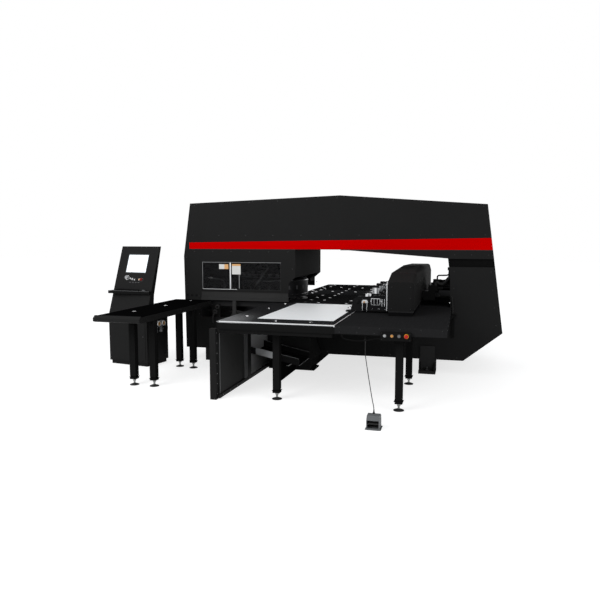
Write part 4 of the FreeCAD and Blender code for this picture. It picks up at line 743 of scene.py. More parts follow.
# ---------------------------------------------------------------- growing patterns
class Pattern(Board):
    """A Geometry Nodes tree with named inputs, ending in Realize Instances and Set Material."""

    def __init__(self, name, *inputs):
        """Each input is the kind of its socket, a space and its name."""
        super().__init__(bpy.data.node_groups.new(name, "GeometryNodeTree"))
        face = self.tree.interface
        self.names = {}
        for text in ("Geometry Geometry", *inputs, "Material Finish"):
            kind, label = text.split(" ", 1)
            made = face.new_socket(label, in_out="INPUT", socket_type="NodeSocket" + kind)
            self.names[label] = made.identifier
        face.new_socket("Geometry", in_out="OUTPUT", socket_type="NodeSocketGeometry")
        self.source = self.node("NodeGroupInput")

    def given(self, *labels):
        """The inputs of those names: one signal, or a list of them."""
        found = [self.out(self.source, label) for label in labels]
        return found[0] if len(found) == 1 else found

    def moved(self, geometry, place):
        return self.add("GeometryNodeTransform", {}, {"Geometry": geometry, "Translation": place})

    def upward(self, height):
        return self.add("ShaderNodeCombineXYZ", {}, {"Z": height})

    def chance(self, low, high):
        """A random vector between two, by the input called Seed."""
        return self.add("FunctionNodeRandomValue", {"data_type": "FLOAT_VECTOR"}, {
            "Min": low, "Max": high, "Seed": self.given("Seed")})

    def grid(self, columns, rows, across, along):
        """Points in columns and rows about the input called Middle."""
        grid = self.add("GeometryNodeMeshGrid", {}, {
            "Size X": (columns - 1.0) * across, "Size Y": (rows - 1.0) * along,
            "Vertices X": columns, "Vertices Y": rows})
        return self.moved(grid, self.given("Middle"))

    def scatter(self, points, piece, **sockets):
        """Puts the piece on every point and closes the tree."""
        return self.close(self.add(
            "GeometryNodeInstanceOnPoints", {}, {"Points": points, "Instance": piece, **sockets}))

    def close(self, geometry):
        real = self.add("GeometryNodeRealizeInstances", {}, {"Geometry": geometry})
        coated = self.add("GeometryNodeSetMaterial", {}, {"Geometry": real, "Material": self.given("Finish")})
        self.node("NodeGroupOutput", {}, {0: coated})
        return self

    def grow(self, name, coat, body="machine", base=None, place=None, **sizes):
        """Runs the tree once on a base mesh and keeps the result as one plain mesh."""
        carrier = bpy.data.objects.new(name + "_carrier", base or bpy.data.meshes.new(name + "_base"))
        bpy.context.scene.collection.objects.link(carrier)
        modifier = carrier.modifiers.new("pattern", "NODES")
        modifier.node_group = self.tree
        for label, value in sizes.items():
            modifier[self.names[label.replace("_", " ")]] = value
        modifier[self.names["Finish"]] = finish(coat)
        graph = bpy.context.evaluated_depsgraph_get()
        mesh = bpy.data.meshes.new_from_object(carrier.evaluated_get(graph), depsgraph=graph)
        bpy.data.objects.remove(carrier)
        if not len(mesh.polygons):
            raise RuntimeError(f"{name} came out empty")
        mesh.name = name
        mesh.transform(place or Matrix())
        return fitted(name, mesh, coat, body)


def spots(name, places):
    """Points for a pattern, each with the direction that its piece faces."""
    mesh = bpy.data.meshes.new(name)
    mesh.from_pydata([place for place, aim in places], [], [])
    aims = mesh.attributes.new("aim", "FLOAT_VECTOR", "POINT")
    for item, (place, aim) in zip(aims.data, places):
        item.vector = aim
    return mesh


def line_mesh(name, points):
    """An open chain of points for a pattern that follows a path."""
    mesh = bpy.data.meshes.new(name)
    mesh.from_pydata([tuple(p) for p in points], [(i, i + 1) for i in range(len(points) - 1)], [])
    return mesh


def screw_pattern():
    """Cap screws with a hexagon socket at every spot."""
    p = Pattern("cap screws", "Float Head Radius", "Float Head Height")
    radius, height = p.given("Head Radius", "Head Height")
    head = p.node("GeometryNodeMeshCylinder", {"fill_type": "NGON"}, {
        "Vertices": 12, "Radius": radius, "Depth": height})
    rim = p.node("GeometryNodeExtrudeMesh", {}, {
        "Mesh": p.out(head, "Mesh"), "Selection": p.out(head, "Top"), "Offset Scale": 0.0})
    top = p.out(rim, "Top")
    drawn = p.add("GeometryNodeScaleElements", {"domain": "FACE"}, {
        "Geometry": p.out(rim, "Mesh"), "Selection": top, "Scale": 0.5})
    socket = p.add("GeometryNodeExtrudeMesh", {}, {
        "Mesh": drawn, "Selection": top, "Offset Scale": height * -0.6})
    aim = p.add("GeometryNodeInputNamedAttribute", {"data_type": "FLOAT_VECTOR"}, {"Name": "aim"})
    facing_out = p.add("FunctionNodeAlignRotationToVector", {"axis": "Z"}, {"Vector": aim})
    return p.scatter(p.given("Geometry"), p.moved(socket, p.upward(height * 0.5)), Rotation=facing_out)


def tuft_pattern():
    """Bristle tufts on a grid, each a little out of line, with room left round the transfer balls."""
    p = Pattern(
        "bristle tufts", "Int Columns", "Int Rows", "Float Pitch", "Vector Middle", "Float Tuft Radius",
        "Float Height", "Int Seed")
    columns, rows, pitch, radius = p.given("Columns", "Rows", "Pitch", "Tuft Radius")
    placed = p.grid(columns, rows, pitch, pitch)
    balls = p.given("Geometry")
    away = p.add("GeometryNodeProximity", {"target_element": "POINTS"}, {0: balls}, out="Distance")
    kept = p.add("GeometryNodeDeleteGeometry", {"domain": "POINT"}, {
        "Geometry": placed, "Selection": away < BALL_ROOM})
    tuft = p.add("GeometryNodeMeshCone", {"fill_type": "NGON"}, {
        "Vertices": 7, "Radius Top": radius, "Radius Bottom": radius * 0.68, "Depth": p.given("Height")})
    lean = p.chance((-0.05, -0.05, 0.0), (0.05, 0.05, 6.2))
    size = p.chance((0.85, 0.85, 0.93), (1.12, 1.12, 0.985))
    return p.scatter(kept, tuft, Rotation=p.add("FunctionNodeEulerToRotation", {}, {0: lean}), Scale=size)


def ball_pattern():
    """Ball transfer units: a ball in a round flanged cup, at every spot."""
    p = Pattern(
        "ball transfers", "Float Ball Radius", "Float Flange Radius", "Float Flange Height", "Float Crest")
    radius, flange_radius = p.given("Ball Radius", "Flange Radius")
    ball = p.add("GeometryNodeMeshUVSphere", {}, {"Segments": 14, "Rings": 9, "Radius": radius})
    flange = p.add("GeometryNodeMeshCone", {"fill_type": "NGON"}, {
        "Vertices": 20, "Radius Top": flange_radius * 0.9, "Radius Bottom": flange_radius,
        "Depth": p.given("Flange Height")})
    unit = p.node("GeometryNodeJoinGeometry")
    for piece in (p.moved(ball, p.upward(p.given("Crest") - radius)), flange):
        p.put(unit.inputs[0], piece)
    return p.scatter(p.given("Geometry"), p.out(unit))


def slat_pattern():
    """A bank of equal slats along a line, each leaning by the same angle."""
    p = Pattern("slats", "Int Count", "Vector Step", "Vector First", "Vector Size", "Rotation Turn")
    line = p.add("GeometryNodeMeshLine", {}, {
        "Count": p.given("Count"), "Start Location": p.given("First"), "Offset": p.given("Step")})
    blade = p.add("GeometryNodeMeshCube", {}, {"Size": p.given("Size")})
    return p.scatter(line, blade, Rotation=p.given("Turn"))


def hose_pattern():
    """A round hose along a chain of points, ribbed where a rib depth is given."""
    p = Pattern("hose", "Float Radius", "Float Rib Depth", "Float Rib Pitch", "Float Step", "Int Sides")
    path = p.add("GeometryNodeMeshToCurve", {}, {"Mesh": p.given("Geometry")})
    smooth = p.add("GeometryNodeCurveSplineType", {"spline_type": "BEZIER"}, {"Curve": path})
    rounded = p.add("GeometryNodeCurveSetHandles", {"handle_type": "AUTO"}, {"Curve": smooth})
    even = p.add("GeometryNodeResampleCurve", {"mode": "LENGTH"}, {
        "Curve": rounded, "Length": p.given("Step")})
    along = p.add("GeometryNodeSplineParameter", out="Length")
    wave = (along * (2.0 * math.pi) / p.given("Rib Pitch")).sine()
    section = p.add("GeometryNodeCurvePrimitiveCircle", {"mode": "RADIUS"}, {
        "Resolution": p.given("Sides"), "Radius": 1.0})
    return p.close(p.add("GeometryNodeCurveToMesh", {}, {
        "Curve": even, "Profile Curve": section, "Scale": p.given("Radius") + wave * p.given("Rib Depth"),
        "Fill Caps": True}))


def grid_pattern():
    """Equal small blocks in rows and columns, such as keys."""
    p = Pattern("grid", "Int Columns", "Int Rows", "Vector Pitch", "Vector Middle", "Vector Size")
    across, along, _ = p.parts(p.given("Pitch"))
    placed = p.grid(*p.given("Columns", "Rows"), across, along)
    key = p.add("GeometryNodeMeshCube", {}, {"Size": p.given("Size")})
    is_top = p.parts(p.add("GeometryNodeInputNormal"))[2] > 0.5
    crown = p.node("GeometryNodeExtrudeMesh", {}, {
        "Mesh": key, "Selection": is_top, "Offset Scale": p.parts(p.given("Size"))[2] * 0.3})
    tapered = p.add("GeometryNodeScaleElements", {"domain": "FACE"}, {
        "Geometry": p.out(crown, "Mesh"), "Selection": p.out(crown, "Top"), "Scale": 0.8})
    return p.scatter(placed, tapered)


def spring_pattern():
    """Coil springs that stand on every spot."""
    p = Pattern("springs", "Float Coil Radius", "Float Wire", "Float Height", "Float Turns")
    radius = p.given("Coil Radius")
    coil = p.add("GeometryNodeCurveSpiral", {}, {
        "Resolution": 16, "Rotations": p.given("Turns"), "Start Radius": radius, "End Radius": radius,
        "Height": p.given("Height")})
    wire = p.add("GeometryNodeCurvePrimitiveCircle", {"mode": "RADIUS"}, {
        "Resolution": 6, "Radius": p.given("Wire")})
    skin = p.add("GeometryNodeCurveToMesh", {}, {"Curve": coil, "Profile Curve": wire, "Fill Caps": True})
    return p.scatter(p.given("Geometry"), skin)


BUILDERS = {
    "screws": screw_pattern, "tufts": tuft_pattern, "balls": ball_pattern, "slats": slat_pattern,
    "hose": hose_pattern, "grid": grid_pattern, "springs": spring_pattern}
PATTERNS = {}


def pattern(name):
    """The tree of that name, built when it is first asked for."""
    if name not in PATTERNS:
        PATTERNS[name] = BUILDERS[name]()
    return PATTERNS[name]


def line_of(start, end, count):
    """Equally spaced places from one to the other, both included."""
    first, last = Vector(start), Vector(end)
    return [tuple(first.lerp(last, i / (count - 1))) for i in range(count)]


def facing(places, aim):
    return [(place, aim) for place in places]


def mirrored(places):
    """The same places on the machine's rear side."""
    return [((x, -y, z), (a, -b, c)) for (x, y, z), (a, b, c) in places]


def cap_screws(name, places, radius, height, coat="black_screw", body="machine"):
    return pattern("screws").grow(
        name, coat, body, base=spots(name + "_spots", places), Head_Radius=radius, Head_Height=height)


def hose(name, points, radius, coat, body="machine", place=None, rib=0.0, pitch=0.01, step=0.01, sides=10):
    moved = [(place or Matrix()) @ Vector(point) for point in points]
    return pattern("hose").grow(
        name, coat, body, base=line_mesh(name + "_path", moved), Radius=radius, Rib_Depth=rib,
        Rib_Pitch=pitch, Step=step, Sides=sides)


def slats(name, coat, count, first, step, size, lean=(0.0, 0.0, 0.0), body="machine", place=None):
    return pattern("slats").grow(
        name, coat, body, place=place, Count=count, First=first, Step=step, Size=size,
        Turn=tuple(math.radians(angle) for angle in lean))


# ---------------------------------------------------------------- stage
class PRESS_OT_stage(bpy.types.Operator):
    """Sets up the camera, the pale floor, the white surroundings and the soft lamps"""

    bl_idname = "press.stage"
    bl_label = "Stage"

    def execute(self, context):
        sizes = context.scene.press_stage
        scene = context.scene
        scene.view_settings.view_transform = "Standard"
        lens = bpy.data.cameras.new("camera")
        lens.lens = sizes.lens
        lens.sensor_width = 36.0
        lens.clip_end = 200.0
        camera = bpy.data.objects.new("camera", lens)
        camera.location = sizes.place
        camera.rotation_euler = (math.radians(90.0) - sizes.pitch, 0.0, sizes.yaw)
        scene.collection.objects.link(camera)
        scene.camera = camera
        self.floor(scene, sizes.floor / 2.0)
        self.surroundings(scene)
        self.lamp(scene, "key", (-4.2, -8.0, 5.2), (-0.6, -0.6, 1.0), 360.0)
        self.lamp(scene, "fill", (6.5, -6.0, 4.0), (0.4, -0.4, 1.0), 100.0)
        self.lamp(scene, "rear", (-2.0, 8.0, 5.5), (-0.5, 0.5, 1.0), 160.0)
        return {"FINISHED"}

    def floor(self, scene, reach):
        mesh = bpy.data.meshes.new("floor")
        corners = [(-reach, -reach, 0.0), (reach, -reach, 0.0), (reach, reach, 0.0), (-reach, reach, 0.0)]
        mesh.from_pydata(corners, [], [(0, 1, 2, 3)])
        cover = Finish("floor")
        cover.tree.nodes.remove(cover.shader)
        plain, soft = [
            cover.add("ShaderNodeBsdfDiffuse", {}, {"Color": (*grey(level), 1.0)}) for level in (0.8, 0.5)]
        glow = cover.add("ShaderNodeEmission", {}, {"Color": (1.0, 1.0, 1.0, 1.0), "Strength": 0.72})
        cover.finish_with("OUTPUT_MATERIAL", plain, cover.add("ShaderNodeAddShader", {}, {0: soft, 1: glow}))
        mesh.materials.append(cover.material)
        floor = bpy.data.objects.new("floor", mesh)
        scene.collection.objects.link(floor)

    def surroundings(self, scene):
        world = bpy.data.worlds.new("studio")
        world.use_nodes = True
        scene.world = world
        sky = Board(world.node_tree)
        light, white = [
            sky.add("ShaderNodeBackground", {}, {"Color": (*colour, 1.0), "Strength": strength})
            for colour, strength in (((0.97, 0.985, 1.0), 0.62), (grey(1.0), 1.0))]
        sky.finish_with("OUTPUT_WORLD", light, white)

    def lamp(self, scene, name, place, aim, power):
        light = bpy.data.lights.new(name, "AREA")
        light.shape = "SQUARE"
        light.size = 4.5
        light.energy = power
        lamp = bpy.data.objects.new(name, light)
        lamp.location = place
        lamp.rotation_euler = (Vector(place) - Vector(aim)).to_track_quat("Z", "Y").to_euler()
        scene.collection.objects.link(lamp)


# ---------------------------------------------------------------- pedal cord
class PRESS_OT_pedal_cord(bpy.types.Operator):
    """Hangs the pedal's cord from the table's front edge to the pedal, with its strain reliefs"""

    bl_idname = "press.pedal_cord"
    bl_label = "Pedal Cord"

    def execute(self, context):
        sizes = context.scene.press_cord
        route = [
            (*LEAD_TOP, 0.742), (*LEAD_TOP, 0.690), (0.766, -2.742, 0.632), (0.775, -2.775, 0.562),
            (0.905, -3.162, 0.232), (0.925, -3.216, 0.198), (PEDAL_X, PEDAL_GLAND_Y, 0.182),
            (PEDAL_X, PEDAL_GLAND_Y, 0.142)]
        curve = bpy.data.curves.new("pedal_lead", "CURVE")
        curve.dimensions = "3D"
        spline = curve.splines.new("NURBS")
        spline.points.add(len(route) - 1)
        for point, spot in zip(spline.points, route):
            point.co = (*spot, 1.0)
        spline.order_u = 3
        spline.use_endpoint_u = True
        spline.resolution_u = 10
        curve.bevel_depth = sizes.diameter / 2.0
        curve.bevel_resolution = 4
        curve.use_fill_caps = True
        curve.materials.append(finish("rubber_black"))
        lead = bpy.data.objects.new("pedal_lead", curve)
        context.scene.collection.objects.link(lead)
        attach(lead, "machine")
        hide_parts("pedal_cord")
        self.reliefs(sizes.diameter / 2.0)
        return {"FINISHED"}

    def reliefs(self, grip):
        profile = [(0.0, 0.0), (0.0085, 0.0), (0.0085, 0.004)]
        for i in range(5):
            height = 0.007 + i * 0.005
            fat = 0.0078 - i * 0.0006
            profile += [(fat, height - 0.002), (fat, height)]
            profile += [(fat - 0.0012, height + 0.0006), (fat - 0.0012, height + 0.0022)]
        profile += [(grip + 0.0006, 0.032), (grip + 0.0002, 0.034), (0.0, 0.034)]
        reliefs = Form()
        reliefs.turned((*LEAD_TOP, 0.744), (0.0, 0.0, -1.0), profile, 20)
        reliefs.turned((PEDAL_X, PEDAL_GLAND_Y, 0.140), UP, profile, 20)
        reliefs.done("pedal_lead_reliefs", "rubber_black")


# ---------------------------------------------------------------- fine parts
class PRESS_OT_cover_details(bpy.types.Operator):
    """Adds the covers' screws, dark strips of painted shadow along their joints, vent rings, rear doors and
    the grilles of both ends
    """

    bl_idname = "press.cover_details"
    bl_label = "Cover Details"

    def execute(self, context):
        sizes = context.scene.press_details
        self.screws(sizes.screw)
        self.joints()
        self.rings()
        self.doors(sizes.louvre)
        self.right_end(sizes.louvre)
        return {"FINISHED"}

    def screws(self, radius):
        rows = (
            (-2.05, 1.586, -0.64, 1.586, 6), (-2.175, 0.70, -2.175, 1.50, 5), (-0.60, 1.07, -0.575, 1.35, 2),
            (-1.99, 0.68, -1.99, 0.94, 2), (1.60, 1.345, 1.60, 0.69, 4), (2.135, 0.66, 2.055, 1.345, 4),
            (1.60, 1.56, 2.02, 1.56, 3), (-1.83, 0.735, 1.47, 0.735, 9), (-1.80, 0.215, 1.66, 0.215, 9),
            (-2.07, 1.815, 1.97, 1.815, 11), (-2.04, 2.245, 0.05, 2.314, 6), (0.42, 2.292, 1.94, 2.175, 5))
        places = []
        for x0, z0, x1, z1, count in rows:
            places += facing(line_of((x0, FRONT, z0), (x1, FRONT, z1), count), TO_FRONT)
        cap_screws("cover_screws", places + mirrored(places), radius, radius * 0.55)

    def joints(self):
        # painted shadow: thin near-black strips on the covers where the gaps between their panels lie in
        # shade
        seams = (
            (-2.130, -0.537, 1.6120, 1.6245, 0.7650, 0.7663, 0.0004),
            (0.102, 2.066, 1.6120, 1.6245, 0.7650, 0.7663, 0.0004),
            (1.560, 1.563, 0.300, 0.772, 0.7646, 0.7656, 0.0003),
            (-2.196, -1.962, 0.6350, 0.6385, 0.7646, 0.7656, 0.0003))
        blocks("cover_joints", "seam_shadow", *(
            ((x0, side * near, z0), (x1, side * far, z1), soft)
            for x0, x1, z0, z1, near, far, soft in seams for side in SIDES))

    def rings(self):
        rings = Form()
        for x in (-2.170, -2.100, -2.030):
            for y, way in ((FRONT, TO_FRONT), (REAR, TO_BACK)):
                rings.ring((x, y, 0.950), way, 0.0155, 0.0108, 0.004, 24)
        rings.done("vent_rings", "plastic_black")

    def doors(self, louvre):
        doors, irons = Form(), Form()
        screws = []
        face = REAR + 0.014
        for name, x0, x1 in (("left", -2.080, -1.365), ("right", -1.345, -0.660)):
            hinge, grip = (x0, x1 - 0.06) if name == "left" else (x1, x0 + 0.06)
            doors.block((x0, REAR, 1.035), (x1, face, 1.565), 0.004)
            doors.block((x0 + 0.05, face, 1.085), (x1 - 0.05, face + 0.002, 1.175), 0.001)
            for z in (1.10, 1.30, 1.50):
                irons.hinge((hinge, REAR + 0.012, z), UP, 0.007)
            irons.block((grip - 0.014, face, 1.28), (grip + 0.014, face + 0.004, 1.42), 0.002)
            feet = [(grip, face + 0.004, z) for z in (1.30, 1.40)]
            irons.handle(*feet, (0.0, 0.018, 0.0), 0.006, 0.0065, 0.008)
            corners = [(x, face, z) for z in (1.057, 1.543) for x in (x0 + 0.022, x1 - 0.022)]
            screws += facing(corners, TO_BACK)
            slats(
                "rear_louvres_" + name, "cover_enamel", 9, ((x0 + x1) / 2.0, face + 0.0025, 1.205),
                (0.0, 0.0, louvre * 0.5), (x1 - x0 - 0.30, 0.009, 0.003), (-35.0, 0.0, 0.0))
        doors.done("rear_doors", "cover_enamel")
        irons.done("rear_door_irons", "black_screw")
        cap_screws("rear_door_screws", screws, 0.006, 0.003)

    def right_end(self, louvre):
        blocks(
            "right_end_door", "cover_enamel", ((-0.46, 0.22, 0.0), (0.46, 1.42, 0.010), 0.003),
            ((0.30, 0.95, 0.010), (0.40, 1.12, 0.013), 0.001), place=RIGHT_END)
        irons, switch, knob = Form(RIGHT_END), Form(RIGHT_END), Form(RIGHT_END)
        for y in (0.36, 0.82, 1.28):
            irons.hinge((-0.46, y, 0.008), TO_BACK, 0.006)
        irons.block((0.405, 0.74, 0.010), (0.430, 0.90, 0.013), 0.0015)
        irons.handle((0.4175, 0.76, 0.013), (0.4175, 0.88, 0.013), (0.0, 0.0, 0.013), 0.005, 0.0055, 0.008)
        irons.done("right_end_irons", "black_screw")
        pivot = (0.35, 1.035, 0.013)
        switch.ring(pivot, UP, 0.034, 0.020, 0.003, 32)
        switch.done("main_switch_ring", "yellow_ring")
        knob.knob(pivot, UP, 0.019, 0.006, 0.017, 0.008, 28)
        knob.block((0.344, 1.017, 0.021), (0.356, 1.053, 0.034), 0.002)
        knob.done("main_switch_knob", "button_red")
        for name, low in (("low", 0.30), ("high", 1.20)):
            slats(
                "right_end_louvres_" + name, "cover_enamel", 8, (0.0, low, 0.0115), (0.0, louvre * 0.7, 0.0),
                (0.56, 0.012, 0.0016), (24.0, 0.0, 0.0), place=RIGHT_END)


class PRESS_OT_window_details(bpy.types.Operator):
    """Frames the window, edges its panes and adds the plain labels, the pull strip and what shows behind"""

    bl_idname = "press.window_details"
    bl_label = "Window Details"

    def execute(self, context):
        trim = context.scene.press_details.trim
        x0, x1, z0, z1 = WINDOW
        x_dark = -1.400
        front, back, soft = FRONT - 0.0018, FRONT, 0.0006
        blocks(
            "window_trim", "dull_aluminium", ((x0 - trim, front, z1), (x1 + trim, back, z1 + trim), soft),
            ((x0 - trim, front, z0), (x0, back, z1), soft))
        blocks(
            "mullion", "aluminium_strip", ((x0 - trim, front, z0 - trim), (x_dark, back, z0), soft),
            ((-1.5085, -0.7645, z0 + 0.002), (-1.4900, -0.7612, z1 - 0.002), 0.0008))
        blocks(
            "window_trim_dark", "guard_grey", ((x_dark, front, z0 - trim), (x1 + trim, back, z0), soft),
            ((x1, front, z0), (x1 + trim, back, z1), soft))
        self.labels()
        self.inside()
        blocks(
            "window_pull", "dull_aluminium", ((-1.373, -0.7565, 1.062), (-1.362, -0.7541, 1.258), 0.0008),
            body="window")
        return {"FINISHED"}

    def labels(self):
        fixed, sliding = ("machine", -0.7615), ("window", -0.7545)
        for name, coat, (body, y), x0, x1, z0, z1 in (
            ("label_small", "label_white", fixed, -1.673, -1.590, 1.336, 1.406),
            ("label_small_field", "label_orange", fixed, -1.5895, -1.530, 1.336, 1.406),
            ("label_large", "label_white", sliding, -1.478, -1.346, 1.262, 1.383),
            ("label_large_band", "label_orange", sliding, -1.478, -1.346, 1.384, 1.409),
        ):
            blocks(name, coat, ((x0, y, z0), (x1, y + 0.0004, z1), 0.00015, 1), body=body)

    def inside(self):
        low, middle, high = (-1.140, -0.650, 1.119), (-1.048, -0.650, 1.243), (-0.960, -0.650, 1.361)
        strut = Form()
        strut.rod(low, middle, 0.0145, 20)
        strut.rod(middle, high, 0.0060, 14)
        strut.ring((-1.050, -0.650, 1.240), (0.596, 0.0, 0.803), 0.0165, 0.0055, 0.010, 20)
        strut.done("bay_strut", "chrome")
        holders = Form()
        near, far = -0.738, -0.635
        for x, heights, rod_start, rod_end, z in (
            (-1.165, (0.985, 1.025, 1.140, 1.100), -1.166, -1.128, 1.119),
            (-0.975, (1.470, 1.430, 1.345, 1.380), -0.978, -0.948, 1.361),
        ):
            corners = [(x, y, height) for y, height in zip((near, near, far, far), heights)]
            holders.prism(corners, (0.012, 0.0, 0.0), 0.001)
            holders.rod((rod_start, -0.650, z), (rod_end, -0.650, z), 0.007, 14)
        holders.block((-1.9575, near, 1.175), (-1.940, -0.675, 1.230), 0.002)
        holders.rod((-1.941, -0.705, 1.203), (-1.870, -0.705, 1.203), 0.008, 14)
        holders.done("bay_brackets", "guard_grey")
        pipe = Form()
        pipe.rod((-1.872, -0.705, 1.203), (-1.836, -0.705, 1.203), 0.0125, 6)
        pipe.rod((-1.840, -0.705, 1.203), (-1.800, -0.705, 1.201), 0.0165, 18)
        pipe.done("bay_fitting", "aluminium_strip")
        path = [
            (-1.800, -0.705, 1.201), (-1.760, -0.705, 1.190), (-1.700, -0.700, 1.186), (-1.640, -0.690, 1.16),
            (-1.620, -0.680, 1.08), (-1.618, -0.675, 0.98)]
        hose("bay_pipe", path, 0.0055, "dull_aluminium", sides=8)


class PRESS_OT_bay_details(bpy.types.Operator):
    """Adds the lip under the sheet slot, its post and the ring couplings beside them"""

    bl_idname = "press.bay_details"
    bl_label = "Bay Details"

    def execute(self, context):
        blocks(
            "slot_lip", "guard_grey", ((-1.958, -0.765, 0.886), (-0.634, -0.741, 0.926), 0.003),
            ((-1.463, -0.7895, 0.600), (-1.411, -0.7655, 0.884), 0.003),
            ((-1.490, -0.771, 0.600), (-1.384, -0.7652, 0.690), 0.002))
        slats(
            "slot_strips", "rubber_black", 44, (-1.9405, -0.7565, 0.968), (0.0299, 0.0, 0.0),
            (0.0294, 0.0022, 0.0832))
        plate = -0.7715
        blocks("coupling_plate", "black_enamel", ((-1.790, plate, 0.640), (-1.655, -0.7652, 0.835), 0.002))
        rings = Form()
        for x, z, outer in ((-1.735, 0.716, 0.036), (-1.697, 0.792, 0.031)):
            rings.ring((x, plate, z), TO_FRONT, outer, outer * 0.62, 0.020, 28)
            rings.ring((x, plate - 0.020, z), TO_FRONT, outer * 0.74, outer * 0.5, 0.008, 24)
        rings.done("couplings", "guard_grey")
        path = [
            (-1.735, -0.788, 0.716), (-1.740, -0.815, 0.690), (-1.760, -0.810, 0.620),
            (-1.772, -0.7745, 0.560)]
        hose("coupling_hose", path, 0.010, "rubber_black", rib=0.0012, pitch=0.006, step=0.0015)
        holes = [(x, -0.771, z) for x in (-1.475, -1.399) for z in (0.615, 0.675)]
        holes += [(x, plate, z) for x, z in ((-1.778, 0.655), (-1.667, 0.655), (-1.778, 0.820))]
        cap_screws("bay_screws", facing(holes, TO_FRONT), 0.0055, 0.0035)
        return {"FINISHED"}


class PRESS_OT_turret_details(bpy.types.Operator):
    """Adds the tools' return springs, the drums' rim bolts, bands and plates, and the drive motors' fins"""

    bl_idname = "press.turret_details"
    bl_label = "Turret Details"

    def execute(self, context):
        angles = [math.radians(15.0 * i) for i in range(24)]

        def around(radius, z):
            return facing([(TURRET_X + radius * math.cos(a), radius * math.sin(a), z) for a in angles], UP)

        tops = spots("tool_spring_spots", around(0.440, 1.2125)[1:])
        pattern("springs").grow(
            "tool_springs", "chrome", "upper_turret", base=tops, Coil_Radius=0.0305, Wire=0.0024,
            Height=0.023, Turns=3.0)
        cap_screws("upper_drum_bolts", around(0.545, 1.200), 0.007, 0.006, body="upper_turret")
        bands, marks, motor = Form(), Form(), Form()
        for z in (0.952, 1.155):
            bands.ring((TURRET_X, 0.0, z), UP, 0.5635, 0.5585, 0.008, 96)
        bands.done("drum_bands", "chrome", "upper_turret")
        for a in angles:
            marks.place = Matrix.Translation((TURRET_X, 0.0, 0.0)) @ Matrix.Rotation(a, 4, "Z")
            marks.block((0.5595, -0.016, 1.030), (0.5612, 0.016, 1.085), 0.0005, 1)
        marks.done("station_plates", "label_grey", "upper_turret")
        for i in range(9):
            motor.ring((-1.500, 0.640, 1.345 + i * 0.026), UP, 0.0925, 0.0845, 0.006, 36)
        motor.done("turret_motor_fins", "black_enamel")
        slats(
            "beam_motor_fins", "black_enamel", 11, (-0.520, 0.650, 0.6465), (0.014, 0.0, 0.0),
            (0.004, 0.110, 0.107))
        return {"FINISHED"}


class PRESS_OT_brush_tables(bpy.types.Operator):
    """Fills the ball tables with bristle tufts and transfer balls"""

    bl_idname = "press.brush_tables"
    bl_label = "Brush Tables"

    def execute(self, context):
        sizes = context.scene.press_brushes
        columns_at, rear_columns = (-0.250, 0.150), (-0.700, -0.250, 0.150)
        balls = [(-0.700, -2.230), (-0.700, -1.445), (-0.250, -2.560), (0.150, -2.560)]
        balls += [(x, y) for x in columns_at for y in (-2.180, -1.800, -1.420, -1.040)] + [(-0.656, -0.840)]
        balls += [(x, y) for x in (-0.450, -0.250, 0.150) for y in (-0.560, -0.190, 0.185, 0.560)]
        balls += [(x, y) for x in rear_columns for y in (0.870, 1.130, 1.500)]
        balls += [(x, y) for x in (-0.800, -0.450, -0.050, 0.330) for y in (1.310, 2.080)]
        balls += [(x, y) for x in rear_columns for y in (1.800, 2.300, 2.660)]
        high, low = [], []
        for x, y in balls:
            swept = -1.68 < y < 1.51 and x > -0.58
            (low if swept else high).append(((x, y, PLATE_TOP), UP))
        side = facing([(-2.151, -2.280, 0.885), (-2.091, -1.596, 0.885), (-2.049, -0.906, 0.885)], UP)
        self.balls("transfer_balls_high", high, sizes.ball, sizes.flange, 0.0102, 0.0116)
        self.balls("transfer_balls_low", low, sizes.ball, sizes.flange, 0.0018, 0.0024)
        self.tufts(sizes, high + low)
        self.balls("side_table_balls", side, 0.010, 0.024, 0.0016, 0.006)
        return {"FINISHED"}

    def balls(self, name, places, radius, flange, cup, crest):
        pattern("balls").grow(
            name, "ball_steel", base=spots(name + "_spots", places), Ball_Radius=radius, Flange_Radius=flange,
            Flange_Height=cup, Crest=crest)

    def tufts(self, sizes, balls):
        tall, short = 0.0114, 0.0021
        fields = (
            ("front", "brush_front", -0.838, 0.405, -2.735, -1.690, tall),
            ("front_left", "brush_front", -0.838, -0.600, -1.645, -0.800, tall),
            ("front_low", "nylon", -0.555, 0.405, -1.645, -0.800, short),
            ("middle", "nylon", -0.510, 0.405, -0.660, 0.660, short),
            ("rear_low", "nylon", -0.838, 0.405, 0.800, 1.490, short),
            ("rear", "nylon", -0.838, 0.405, 1.540, 2.735, tall))
        for name, coat, x0, x1, y0, y1, height in fields:
            pattern("tufts").grow(
                "bristles_" + name, coat, base=spots("bristle_balls_" + name, balls),
                Columns=int((x1 - x0) / sizes.pitch) + 1, Rows=int((y1 - y0) / sizes.pitch) + 1,
                Pitch=sizes.pitch, Middle=((x0 + x1) / 2.0, (y0 + y1) / 2.0, PLATE_TOP),
                Tuft_Radius=sizes.tuft, Height=height, Seed=sizes.seed)


